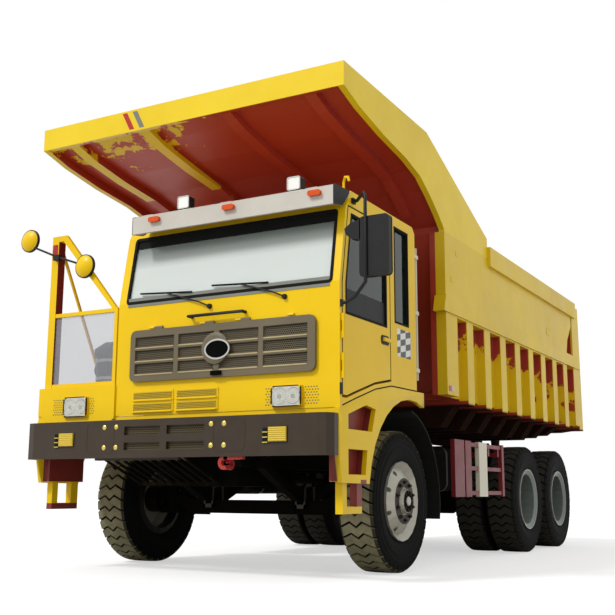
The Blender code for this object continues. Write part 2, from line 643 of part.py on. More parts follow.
def sun_visor():
    """A peak over the windscreen, with its marker lamps and two work lamps."""
    top = 3.460
    under = 3.420
    rear = (screen_y(under) - 2 * GAP, under)
    back = (screen_y(top + 0.008) - 2 * GAP, top + 0.008)
    front = -1.620
    peak = [(front, 3.270), (front + PLATE, 3.270), (front + PLATE, under), rear, back,
            (front + 0.040, top), (front, top - 0.020)]
    ends = (CAB_RIGHT_X + 0.241, CAB_LEFT_X - 0.003)
    forms = [prism(peak, "x", ends)]
    cheek = [(front, 3.270), (front + 0.170, 3.300), rear, back, (front + 0.040, top), (front, top - 0.020)]
    for x in ((ends[0] - 0.010, ends[0] + 0.010), (ends[1] - 0.018, ends[1] + 0.002)):
        forms.append(prism(cheek, "x", x))
    for x in (ends[0] + 0.054, (ends[0] + ends[1]) / 2 - 0.125, ends[1] - 0.302):
        forms.append(box((x - 0.060, x + 0.060), (-1.470, -1.400), (top - 0.020, top + 0.045)))
    for x in (ends[0] + 0.460, ends[1] - 0.515):
        forms.append(box((x - 0.015, x + 0.015), (-1.390, -1.360), (top - 0.020, top + 0.080)))
        forms.append(box((x - 0.065, x + 0.065), (-1.420, -1.340), (top + 0.070, top + 0.190)))
    piece("sun_visor", WHITE, forms)


def cab_interior():
    """Dashboard with its column, the steering wheel and two seats on one riser."""
    inside = (CAB_RIGHT_X + CAB_WALL + 0.015, CAB_LEFT_X - CAB_WALL - 0.015)
    base = COWL_Z + GAP
    face = FIREWALL_Y + GAP
    dash = [(-1.380, base), (face, base), (face, 2.300), (-0.930, 2.380), (-0.960, 2.570), (-1.330, 2.540)]
    hub = Vector((DRIVER_X, -0.700, 2.560))
    lean = Vector((0.0, -0.260, -0.180)).normalized()
    column = rod(hub + lean * GAP, hub + lean * 0.360, 0.030, 8)
    piece("dashboard", TRIM, [prism(dash, "x", inside), column])
    tilt = Vector((0.0, 0.0, 1.0)).rotation_difference(-lean).to_matrix()
    ring = turned([(-0.014, 0.215), (-0.014, 0.243), (0.014, 0.243), (0.014, 0.215)], "z", (0, 0, 0), 16)
    ring = ([tuple(tilt @ Vector(point) + hub - lean * 0.035) for point in ring[0]], ring[1])
    middle = hub - lean * 0.035
    forms = [ring, rod(hub, hub - lean * 0.050, 0.045, 8)]
    for angle in (90.0, 210.0, 330.0):
        tip = Vector((math.cos(math.radians(angle)), math.sin(math.radians(angle)), 0.0)) * 0.228
        forms.append(rod(middle, tilt @ tip + middle, 0.010, 6))
    piece("steering_wheel", TRIM, forms, pivot=tuple(hub))
    floor = CAB_FLOOR + 0.010 + GAP
    forms = [box((-0.400, DRIVER_X + 0.330), (-0.520, 0.060), (floor, 2.120))]
    cushion = [(-0.620, 2.080), (-0.640, 2.180), (-0.610, 2.240), (-0.100, 2.210), (-0.080, 2.080)]
    backrest = [(-0.140, 2.180), (-0.160, 2.300), (-0.040, 2.880), (0.040, 2.900), (0.070, 2.840), (0.000, 2.180)]
    for x in (-0.050, DRIVER_X):
        forms.append(prism(cushion, "x", (x - 0.250, x + 0.250)))
        forms.append(prism(backrest, "x", (x - 0.240, x + 0.240)))
    piece("cab_seats", TRIM, forms)


def right_deck():
    """The walkway box beside the cab, its guard frame and screen, and the air cleaner."""
    inner = CAB_RIGHT_X - GAP
    top = 1.800
    front = (-1.520, -1.460)
    low = 1.466
    edge = -HALF_WIDTH + SHEET + SWING_GAP
    forms = [box((edge, inner), front, (low, top))]
    forms.append(box((-HALF_WIDTH, edge + 0.010), front, (SEAM[0][1] + 0.030, top)))
    forms.append(box((-HALF_WIDTH, inner), (front[0], 0.250), (top - 0.030, top)))
    side = [(y, z + GAP) for y, z in SEAM[:-1]]
    side += [(0.250, cab_bottom(0.250) + GAP), (0.250, top), (SEAM[0][0], top)]
    forms.append(prism(side, "x", (-HALF_WIDTH, -HALF_WIDTH + SHEET)))
    lamp_x = (-HALF_WIDTH + 0.367, -HALF_WIDTH + 0.670)
    forms.append(box(lamp_x, (front[0] - 0.020, front[0] + 0.010), (1.496, 1.696)))
    piece("deck_box", YELLOW, forms)

    foot = top + GAP
    outer = (-HALF_WIDTH + 0.053, -HALF_WIDTH + 0.143)
    near = (CAB_RIGHT_X - 0.059, CAB_RIGHT_X - 0.019)
    bar = 0.040
    across = (outer[0] + bar, near[0] + bar / 2)
    depth = (-1.500, -1.460)
    forms = [box(outer, (-1.500, -1.400), (foot, 3.420))]
    forms.append(box(near, depth, (foot, 2.580)))
    forms.append(box(across, depth, (2.540, 2.580)))
    forms.append(box(across, depth, (foot, foot + bar)))
    slope = [(outer[0] + 0.050, 3.420), (outer[0] + 0.050, 3.360), (outer[0] + 0.150, 3.360), (near[0], 2.540),
             (near[1], 2.560), (outer[0] + 0.190, 3.420)]
    forms.append(prism(slope, "y", depth))
    stay = [(-1.440, 3.400), (-1.440, 3.320), (-0.640, foot), (-0.580, foot)]
    forms.append(prism(stay, "x", (outer[0] + 0.025, outer[0] + 0.065)))
    for i in range(5):
        x = outer[1] + (near[0] - outer[1]) * (i + 0.5) / 5
        forms.append(box((x - 0.008, x + 0.008), (-1.488, -1.472), (foot + 0.020, 2.560)))
    for z in (2.050, 2.300):
        forms.append(box((outer[1] - 0.010, near[0] + 0.010), (-1.488, -1.472), (z - 0.008, z + 0.008)))
    piece("deck_guard", YELLOW, forms)

    middle = (-1.020, -1.200)
    profile = [(foot, 0.0), (foot, 0.190), (2.120, 0.190), (2.120, 0.215), (2.200, 0.215), (2.270, 0.120), (2.270, 0.0)]
    body = turned(profile, "z", (*middle, 0.0), 16)
    intake = rod((middle[0], middle[1], 2.000), (-1.240, middle[1], 2.000), 0.070, 10)
    round_smooth(piece("air_cleaner", BLACK, [body, intake]))


def mirrors():
    """The left mirror on its two arms and the pair of round mirrors on the right guard."""
    head = box((CAB_LEFT_X + 0.187, CAB_LEFT_X + 0.477), (-1.610, -1.545), (2.650, 3.150))
    foot = CAB_LEFT_X + GAP
    bend = CAB_LEFT_X + 0.047
    stem = (CAB_LEFT_X + 0.332, -1.578)
    upper = pipe([(foot, -1.240, 3.390), (bend, -1.240, 3.390), (*stem, 3.380), (*stem, 3.130)], 0.016, 8)
    lower = pipe([(foot, -1.482, 2.380), (bend, -1.482, 2.380), (*stem, 2.420), (*stem, 2.670)], 0.016, 8)
    piece("mirror_left", BLACK, [head, upper, lower])
    rear = -1.500 - GAP
    far = -HALF_WIDTH - 0.377
    path = [(far, -1.535, 3.410), (-HALF_WIDTH + 0.098, -1.535, 3.410), (-HALF_WIDTH + 0.183, -1.535, 3.370),
            (-1.220, -1.535, 3.050)]
    forms = [pipe(path, 0.014, 8)]
    forms.append(box((-HALF_WIDTH + 0.073, -HALF_WIDTH + 0.123), (-1.550, rear), (3.380, 3.419)))
    for x, z in ((far, 3.410), (-1.220, 3.050)):
        dish = [(-1.580, 0.0), (-1.580, 0.100), (-1.560, 0.100), (-1.530, 0.050), (-1.530, 0.0)]
        forms.append(turned(dish, "y", (x, 0.0, z), 16))
    piece("mirrors_right", BLACK, forms)


def step_skirts():
    """Side panels with the wheel arch, two step wells in each and a step hung below."""
    outline = list(SEAM)
    turn = arc(ARCH_CENTRE, ARCH_RADIUS, 71.0, 171.0, 9)
    outline += [(SKIRT_REAR_Y, turn[0][1])] + turn + list(SKIRT_FOOT)
    panel = prism(outline, "x", (HALF_WIDTH - SHEET, HALF_WIDTH))
    front = -1.450
    lower_box = box(WELL_X, (front, -0.950), (0.860, 1.250))
    ceiling = [(front, 1.230), (-0.860, 1.230), (-0.720, 1.560), (-0.980, 1.600), (front, 1.470)]
    upper_box = prism(ceiling, "x", WELL_X)
    depth = (WELL_X[0] + PLATE, HALF_WIDTH + 0.020)
    cuts = [prism(UPPER_STEP, "x", depth), prism(LOWER_STEP, "x", depth)]
    hung = [(front, 0.900), (front, 0.590), (-1.050, 0.590), (-1.050, 0.900), (-1.110, 0.900), (-1.110, 0.640),
            (front + 0.050, 0.640), (front + 0.050, 0.900)]
    step = prism(hung, "x", STEP_X)
    for side, name in ((1, "left"), (-1, "right")):
        forms = on_side(side, [panel, lower_box, upper_box, step])
        piece(f"step_skirt_{name}", YELLOW, forms, ("cut", on_side(side, cuts)))


def powertrain():
    """The engine with its gearbox as one plain block, the radiator and the propeller shaft."""
    lug = RAIL_INNER_X - GAP
    forms = [box((-0.340, 0.340), (-0.950, 0.120), (0.820, 1.600))]
    forms.append(box((-0.200, 0.200), (0.100, 0.420), (0.800, 1.150)))
    for y in (-0.800, 0.000):
        forms.append(box((-lug, lug), (y - 0.050, y + 0.050), (1.100, 1.200)))
    piece("engine_block", BLACK, forms)
    stand = RAIL_TOP + GAP
    forms = [box((-0.480, 0.480), (-1.380, -1.260), (stand, 2.260))]
    forms.append(box((-0.400, 0.400), (-1.270, -1.200), (1.450, 2.200)))
    piece("radiator", BLACK, forms)
    start = Vector((0.0, 0.420 + GAP, 0.930))
    end = Vector((0.0, MIDDLE_AXLE_Y - 0.420 - GAP, 0.760))
    yoke = Vector((0.0, 0.060, 0.0))
    forms = [rod(start + yoke / 2, end - yoke / 2, 0.045, 10)]
    forms += [rod(start, start + yoke, 0.080, 10), rod(end - yoke, end, 0.080, 10)]
    piece("propeller_shaft", BLACK, forms)


def front_axle():
    """A forged beam with its kingpin eyes, carried by two leaf springs."""
    eye_low = AXLE_Z - EYE_HEIGHT / 2
    neck = KINGPIN_X - 0.150
    beam = [(-KINGPIN_X, 0.630), (-neck, 0.630), (-0.850, 0.540), (0.850, 0.540), (neck, 0.630), (KINGPIN_X, 0.630),
            (KINGPIN_X, 0.730), (neck, 0.730), (0.800, 0.680), (-0.800, 0.680), (-neck, 0.730), (-KINGPIN_X, 0.730)]
    forms = [prism(beam, "y", (-0.070, 0.070))]
    forms += both(rod((KINGPIN_X, 0.0, eye_low), (KINGPIN_X, 0.0, eye_low + EYE_HEIGHT), 0.080, 12))
    half = FRONT_SPRING_HALF
    leaf = [(-half - 0.050, SPRING_END_TOP - 0.030), (-half - 0.050, SPRING_END_TOP), (-half + 0.040, SPRING_END_TOP)]
    leaf += [(-0.400, 0.850), (0.0, 0.800), (0.400, 0.850)]
    leaf += [(half - 0.040, SPRING_END_TOP), (half + 0.050, SPRING_END_TOP), (half + 0.050, SPRING_END_TOP - 0.030)]
    leaf += [(0.450, 0.780), (0.180, 0.670), (-0.180, 0.670), (-0.450, 0.780)]
    forms += both(prism(leaf, "x", (SPRING_X - SPRING_WIDTH / 2, SPRING_X + SPRING_WIDTH / 2)))
    bore = (KINGPIN_RADIUS + PIN_GAP) / math.cos(math.pi / 12)
    holes = both(rod((KINGPIN_X, 0.0, 0.400), (KINGPIN_X, 0.0, 1.000), bore, 12, half_step=True))
    piece("front_axle", BLACK, forms, ("cut", holes))


def knuckles():
    """The steered ends: a fork over the beam's eye, the kingpin, a stub axle and an arm."""
    eye_low = AXLE_Z - EYE_HEIGHT / 2
    eye_high = eye_low + EYE_HEIGHT
    lug = 0.060
    low = (eye_low - SWING_GAP - lug, eye_low - SWING_GAP)
    high = (eye_high + SWING_GAP, eye_high + SWING_GAP + lug)
    at = (KINGPIN_X, 0.0)
    forms = [rod((*at, low[0]), (*at, high[1]), KINGPIN_RADIUS, 12)]
    for z in (low, high):
        forms.append(rod((*at, z[0]), (*at, z[1]), 0.078, 12))
        forms.append(box((KINGPIN_X, KINGPIN_X + 0.125), (-0.070, 0.070), z))
    web = (KINGPIN_X + 0.080 + SWING_GAP, KINGPIN_X + 0.125)
    forms.append(box(web, (-0.070, 0.070), (low[0], high[1])))
    stub_end = FRONT_WHEEL_X + 0.120
    forms.append(rod((web[0] + 0.010, 0.0, AXLE_Z), (stub_end, 0.0, AXLE_Z), FRONT_SPINDLE_RADIUS, 16))
    forms.append(prism([(KINGPIN_X + 0.020, 0.020), (KINGPIN_X + 0.060, 0.020), (KINGPIN_X - 0.020, 0.300),
                        (KINGPIN_X - 0.080, 0.300)], "z", (low[0], low[1] - 0.015)))
    for side, name in ((1, "left"), (-1, "right")):
        piece(f"knuckle_{name}", BLACK, on_side(side, forms), pivot=(side * KINGPIN_X, 0.0, AXLE_Z))


def drive_axles():
    """Two driven axles, their trunnion springs and the shaft between them."""
    z = AXLE_Z
    half = [(0.0, BANJO_RADIUS), (0.130, BANJO_RADIUS), (0.300, AXLE_TUBE_RADIUS),
            (0.930, AXLE_TUBE_RADIUS), (0.930, REAR_SPINDLE_RADIUS), (REAR_WHEEL_X + 0.060, REAR_SPINDLE_RADIUS),
            (REAR_WHEEL_X + 0.060, 0.0)]
    profile = [(-x, r) for x, r in half[:0:-1]] + half[1:]
    nose = 0.420
    for name, y in (("middle", MIDDLE_AXLE_Y), ("rear", REAR_AXLE_Y)):
        forms = [turned(profile, "x", (0.0, y, z), 16)]
        forms.append(rod((0.0, y - nose, z + 0.075), (0.0, y, z + 0.075), 0.090, 10))
        if name == "middle":
            reach = REAR_AXLE_Y - nose - GAP
            forms.append(rod((0.0, y, z + 0.075), (0.0, reach, z + 0.075), 0.045, 10))
        piece(f"drive_axle_{name}", BLACK, forms)
    rest = z + AXLE_TUBE_RADIUS + GAP
    middle = (MIDDLE_AXLE_Y + REAR_AXLE_Y) / 2
    reach = (REAR_AXLE_Y - MIDDLE_AXLE_Y) / 2 + 0.090
    leaf = [(middle - reach, rest), (middle - reach + 0.180, rest), (middle, rest + 0.060),
            (middle + reach - 0.180, rest), (middle + reach, rest), (middle + reach, rest + 0.030),
            (middle + 0.450, rest + 0.110), (middle + 0.120, rest + 0.210), (middle - 0.120, rest + 0.210),
            (middle - 0.450, rest + 0.110), (middle - reach, rest + 0.030)]
    spring_x = (SPRING_X - SPRING_WIDTH / 2, SPRING_X + SPRING_WIDTH / 2)
    forms = [rod((-spring_x[1], middle, TRUNNION_Z), (spring_x[1], middle, TRUNNION_Z), TRUNNION_RADIUS, 12)]
    forms += both(prism(leaf, "x", spring_x))
    piece("bogie_springs", BLACK, forms)


def tanks():
    """Fuel on the right and hydraulic oil on the left, each strapped to its rail."""
    for name, side, x, y, z in (
        ("fuel_tank", -1, (0.900, 1.600), (1.300, 2.900), (0.740, 1.330)),
        ("hydraulic_tank", 1, (0.750, 1.350), (1.350, 2.250), (0.780, 1.300)),
    ):
        r = 0.100
        outline = []
        for cx, cz, start in ((x[1] - r, z[1] - r, 0.0), (x[0] + r, z[1] - r, 90.0), (x[0] + r, z[0] + r, 180.0),
                              (x[1] - r, z[0] + r, 270.0)):
            outline += arc((cx, cz), r, start, start + 90.0, 3)
        forms = [prism(outline, "y", y)]
        for at in (y[0] + 0.250, y[1] - 0.250):
            forms.append(box((RAIL_OUTER_X + GAP, x[0] + 0.050), (at - 0.040, at + 0.040), (1.080, 1.180)))
        piece(name, BLACK, on_side(side, forms))


def side_guard():
    """The tubular guard between the left wheels, held off the frame by two arms."""
    x = (1.670, 1.720)
    forms = []
    for y in ((1.300, 1.600), (1.640, 1.830), (2.100, 2.380), (2.940, 3.020)):
        forms.append(box(x, y, (0.720, 1.350)))
    for z in (0.740, 1.020, 1.290):
        forms.append(box((1.680, 1.710), (1.310, 3.010), (z, z + 0.045)))
    for y in (2.500, 2.860):
        forms.append(box((RAIL_OUTER_X + GAP, 1.690), (y - 0.025, y + 0.025), (1.200, 1.250)))
        forms.append(box((1.650, 1.700), (y - 0.025, y + 0.025), (1.200, 1.330)))
    piece("side_guard", MAROON, forms)


def mudguards():
    """A curved flap behind each front wheel."""
    centre = (0.0, AXLE_Z)
    outline = arc(centre, MUDGUARD_RADIUS, -12.0, 78.0, 9)
    outline += arc(centre, MUDGUARD_RADIUS + MUDGUARD_WALL, 78.0, -12.0, 9)
    flap = prism(outline, "x", (MUDGUARD_INNER_X, HALF_WIDTH - 0.053))
    ear = box((MUDGUARD_INNER_X, MUDGUARD_INNER_X + 0.020), (MUDGUARD_ARM_Y - 0.090, MUDGUARD_ARM_Y + 0.050),
              (MUDGUARD_ARM_Z - 0.050, MUDGUARD_ARM_Z + 0.050))
    for side, name in ((1, "left"), (-1, "right")):
        piece(f"mudguard_{name}", BLACK, on_side(side, [flap, ear]))


def rear_rails():
    """Upright tubes behind the cab, clamped to its rear wall."""
    forms = []
    for inset, y in ((0.143, 0.290), (0.053, 0.330)):
        x = CAB_LEFT_X - inset
        forms.append(rod((x, y, 1.900), (x, y, 3.300), 0.022, 8))
    across = (CAB_LEFT_X - 0.173, CAB_LEFT_X - 0.023)
    for z in (2.000, 2.600, 3.200):
        forms.append(box(across, (CAB_REAR_Y + GAP, 0.345), (z - 0.020, z + 0.020)))
    piece("cab_rear_rails", STEEL, forms)


def front_wall_y(z):
    """The bed's front wall leans forward to the canopy."""
    share = (z - BED_FLOOR) / (BED_SHOULDER_Z - BED_FLOOR)
    return 1.420 + (BED_FRONT_Y + 0.030 - 1.420) * share


def beam_foot(y):
    """Underside of the bed's crossbeams, which rises to the tail."""
    level = 1.500
    start = 4.700
    if y <= start:
        return level
    return level + (1.720 - level) * (y - start) / (BED_REAR_Y - start)


def bed():
    """The rock body: floor, ribbed sides, leaning front wall, beams, and ears at its tail."""
    forms = [box((-BED_WALL_X, BED_WALL_X), (1.380, BED_REAR_Y), (BED_BOTTOM, BED_FLOOR))]
    # Side wall and its outer members: outline in (y, z), inner and outer face
    wall = [(BED_FRONT_Y, BED_BOTTOM), (BED_REAR_Y, BED_BOTTOM), (BED_REAR_Y - 0.030, BED_TOP - 0.050),
            (BED_REAR_Y - 0.300, BED_TOP), (BED_SHOULDER_Y + GAP, BED_TOP), (BED_SHOULDER_Y + GAP, BED_SHOULDER_Z),
            (BED_FRONT_Y, BED_SHOULDER_Z)]
    members = [(wall, BED_INNER_X, BED_WALL_X)]
    outer = (BED_WALL_X - 0.010, BED_HALF_WIDTH)
    upper = [(BED_FRONT_Y, BELT_LOW), (5.900, BELT_LOW), (6.050, 3.100), (6.300, 3.350), (6.300, BED_TOP),
             (BED_SHOULDER_Y + GAP, BED_TOP), (BED_SHOULDER_Y + GAP, BED_SHOULDER_Z), (BED_FRONT_Y, BED_SHOULDER_Z)]
    belt = [(BED_FRONT_Y - 0.094, BELT_LOW + 0.020), (6.700, BELT_LOW + 0.020), (6.700, BELT_HIGH),
            (BED_FRONT_Y - 0.040, BELT_HIGH)]
    cap = [(BED_SHOULDER_Y + GAP, BED_TOP - 0.250), (6.480, BED_TOP - 0.250), (6.480, BED_TOP - 0.006),
           (BED_SHOULDER_Y + GAP, BED_TOP - 0.006)]
    post = [(TAIL_POST_Y, BED_BOTTOM), (BED_REAR_Y, BED_BOTTOM), (BED_REAR_Y - 0.030, BED_TOP - 0.050),
            (TAIL_POST_Y, BED_TOP - 0.050)]
    members.append((upper, *outer))
    members.append((belt, outer[0], BED_HALF_WIDTH + 0.020))
    members.append((cap, outer[0], BED_HALF_WIDTH + 0.040))
    members.append((post, *outer))
    front_post = [(BED_FRONT_Y, BED_BOTTOM), (BED_FRONT_Y + 0.340, BED_BOTTOM), (BED_FRONT_Y + 0.340, BELT_LOW + 0.030),
                  (BED_FRONT_Y, BELT_LOW + 0.030)]
    members.append((front_post, *outer))
    for i in range(RIBS):
        y = RIB_FIRST_Y + RIB_PITCH * i
        rib = [(y - RIB_WIDTH / 2, BED_BOTTOM), (y + RIB_WIDTH / 2, BED_BOTTOM), (y + RIB_WIDTH / 2, BELT_LOW + 0.030),
               (y - RIB_WIDTH / 2, BELT_LOW + 0.030)]
        members.append((rib, *outer))
    for outline, inner, out in members:
        forms += both(prism(outline, "x", (inner, out)))
    low, high = BED_BOTTOM + 0.010, BED_SHOULDER_Z
    wall = [(front_wall_y(low), low), (front_wall_y(low) + 0.080, low), (front_wall_y(high) + 0.080, high),
            (front_wall_y(high), high)]
    forms.append(prism(wall, "x", (-BED_WALL_X + 0.010, BED_WALL_X - 0.010)))
    # Crossbeams under the ribs, and one at the tail
    for i in range(RIBS + 1):
        y = RIB_FIRST_Y + RIB_PITCH * i if i < RIBS else BED_REAR_Y - RIB_WIDTH / 2
        foot = beam_foot(y)
        outline = [(-BED_HALF_WIDTH, BED_BOTTOM + 0.020), (-BED_HALF_WIDTH, 1.730), (-1.640, 1.730), (-1.480, foot),
                   (1.480, foot), (1.640, 1.730), (BED_HALF_WIDTH, 1.730), (BED_HALF_WIDTH, BED_BOTTOM + 0.020)]
        forms.append(prism(outline, "y", (y - RIB_WIDTH / 2 + 0.001, y + RIB_WIDTH / 2 - 0.001)))
    beam = [(1.460, BEAM_BOTTOM), (TIP_Y - 0.150, BEAM_BOTTOM), (TIP_Y - 0.150, 1.700), (BED_REAR_Y - 0.010, 1.720),
            (BED_REAR_Y - 0.010, BED_BOTTOM + 0.020), (1.460, BED_BOTTOM + 0.020)]
    forms += both(prism(beam, "x", (BEAM_X - BEAM_WIDTH / 2, BEAM_X + BEAM_WIDTH / 2)))
    # Ears round the tipping pin
    ear = [(TIP_Y + 0.100, TIP_Z), (TIP_Y + 0.200, BED_BOTTOM + 0.020), (TIP_Y - 0.200, BED_BOTTOM + 0.020)]
    ear += arc((TIP_Y, TIP_Z), 0.100, 180.0, 350.0, 8)
    forms += both(prism(ear, "x", TIP_EAR_X))
    # Two plates on the front wall take the hoist's head between them
    head_y, head_z = HOIST_HEAD[1:]
    plate = [(head_y - 0.080, head_z - 0.080), (head_y + 0.040, head_z - 0.120)]
    plate += [(front_wall_y(2.900) + 0.040, 2.900), (front_wall_y(3.450) + 0.040, 3.450), (head_y - 0.080, head_z + 0.080)]
    forms += both(prism(plate, "x", (0.085, 0.115)))
    bore = (TIP_PIN_RADIUS + PIN_GAP) / math.cos(math.pi / 16)
    hole = both(rod((TIP_EAR_X[0] - 0.020, TIP_Y, TIP_Z), (TIP_EAR_X[1] + 0.020, TIP_Y, TIP_Z), bore, 16, half_step=True))
    piece("dump_body", YELLOW, forms, ("cut", hole), pivot=(0.0, TIP_Y, TIP_Z))


def canopy():
    """The spill guard over the cab: cheeks, a front lip and a ribbed deck."""
    seat = BED_SHOULDER_Z + GAP
    cheek = list(CANOPY_UNDER) + [(BED_FRONT_Y, seat), (BED_SHOULDER_Y, seat), (BED_SHOULDER_Y, 3.851),
                                  (0.391, 4.592), (CANOPY_FRONT_Y, CANOPY_TOP)]
    inner = BED_HALF_WIDTH - CANOPY_PLATE
    forms = both(prism(cheek, "x", (inner, BED_HALF_WIDTH)))
    deck = [(y, z + 0.090) for y, z in CANOPY_UNDER[:-1]]
    deck += [(0.930, 3.690), (0.930, seat), (1.020, seat), (1.020, 3.720)]
    deck += [(y + 0.030, z + 0.140) for y, z in CANOPY_UNDER[-2:0:-1]]
    deck.append((CANOPY_FRONT_Y, CANOPY_LIP + 0.150))
    forms.append(prism(deck, "x", (-inner - 0.010, inner + 0.010)))
    forms.append(box((-BED_HALF_WIDTH, BED_HALF_WIDTH), (CANOPY_FRONT_Y, CANOPY_FRONT_Y + 0.060),
                     (CANOPY_LIP, CANOPY_TOP)))
    rib = [(CANOPY_FRONT_Y + 0.010, CANOPY_LIP + 0.020)] + [(y, z + 0.015) for y, z in CANOPY_UNDER[1:-1]]
    rib += [(y, z + 0.110) for y, z in CANOPY_UNDER[-2:0:-1]] + [(CANOPY_FRONT_Y + 0.010, CANOPY_LIP + 0.110)]
    for x in CANOPY_RIB_X:
        forms.append(prism(rib, "x", (x - 0.060, x + 0.060)))
    piece("body_canopy", YELLOW, forms, pivot=(0.0, TIP_Y, TIP_Z))


def hoist():
    """A front telescopic hoist: the barrel on its foot pin, then three tubes and the head eye."""
    foot = Vector(HOIST_FOOT)
    head = Vector(HOIST_HEAD)
    up = (head - foot).normalized()
    length = (head - foot).length
    bottom = 0.110
    tops = (length - 0.420, length - 0.350, length - 0.280, length)
    for stage, (radius, top) in enumerate(zip(HOIST_RADII, tops)):
        start = foot + up * (bottom + 0.040 * stage)
        name = "hoist_barrel" if stage == 0 else f"hoist_tube_{stage}"
        cuts = []
        forms = []
        if stage < len(HOIST_RADII) - 1:
            forms.append(rod(start, foot + up * top, radius, 16))
            bore = (HOIST_RADII[stage + 1] + PIN_GAP) / math.cos(math.pi / 16)
            cuts.append(rod(start + up * 0.030, foot + up * (top + 0.050), bore, 16, half_step=True))
        else:
            forms.append(rod(start, head - up * 0.040, radius, 16))
            forms.append(rod(head - Vector((0.060, 0, 0)), head + Vector((0.060, 0, 0)), 0.075, 12))
            forms.append(rod(head - Vector((0.078, 0, 0)), head + Vector((0.078, 0, 0)), HOIST_PIN_RADIUS, 12))
        pivot = HOIST_FOOT
        if stage == 0:
            eye = 0.085
            forms.append(rod(foot - Vector((0.060, 0, 0)), foot + Vector((0.060, 0, 0)), eye, 16))
            forms.append(rod(foot, foot + up * (bottom + 0.040), 0.060, 8))
            clear = (HOIST_PIN_RADIUS + PIN_GAP) / math.cos(math.pi / 12)
            cuts.append(rod(foot - Vector((0.080, 0, 0)), foot + Vector((0.080, 0, 0)), clear, 12, half_step=True))
        steps = [("cut", cuts)] if cuts else []
        round_smooth(piece(name, STEEL if stage else BLACK, forms, *steps, pivot=pivot))


def tyre(x):
    """One tyre centred at a place across the truck, its lugs skewed across the tread."""
    pitch = math.tau / LUGS
    half_land = pitch * LUG_SHARE / 2
    flank = pitch * 0.06
    steps = ((-half_land - flank, 0), (-half_land, 1), (half_land, 1), (half_land + flank, 0))
    heights = (TYRE_RADIUS - TREAD_DEPTH, TYRE_RADIUS)
    start = -math.pi / 2 - half_land
    points = []
    rows = []

    def add_row(along, spread):
        row = []
        for angle, radius in spread:
            row.append(len(points))
            points.append((x + along, radius * math.cos(angle), AXLE_Z + radius * math.sin(angle)))
        rows.append(row)

    def plain(radius):
        return [(start + half_land + pitch * i, radius) for i in range(LUGS)]

    def lugged(skew):
        return [(start + half_land + pitch * i + turn + skew, heights[up]) for i in range(LUGS) for turn, up in steps]

    add_row(-BEAD_WIDTH / 2, plain(BEAD_RADIUS))
    add_row(-TYRE_WIDTH / 2, plain(FLANK_RADIUS))
    add_row(-TREAD_WIDTH / 2, lugged(-LUG_SKEW))
    add_row(TREAD_WIDTH / 2, lugged(LUG_SKEW))
    add_row(TYRE_WIDTH / 2, plain(FLANK_RADIUS))
    add_row(BEAD_WIDTH / 2, plain(BEAD_RADIUS))
    faces = []
    for a, b in zip(rows, rows[1:] + rows[:1]):
        if len(a) == len(b):
            count = len(a)
            faces += [(a[i], a[(i + 1) % count], b[(i + 1) % count], b[i]) for i in range(count)]
            continue
        few, many = (a, b) if len(a) < len(b) else (b, a)
        for i in range(LUGS):
            j = (i + 1) % LUGS
            faces.append((few[i], many[4 * i + 1], many[4 * i + 2]))
            faces.append((few[i], many[4 * i + 2], many[4 * i + 3]))
            faces.append((few[i], many[4 * i], many[4 * i + 1]))
            faces.append((few[i], many[4 * i + 3], many[4 * j], few[j]))
    return points, faces


def moved_tyre(form, y):
    """A tyre on another axle."""
    points, faces = form
    return [(px, py + y, pz) for px, py, pz in points], faces


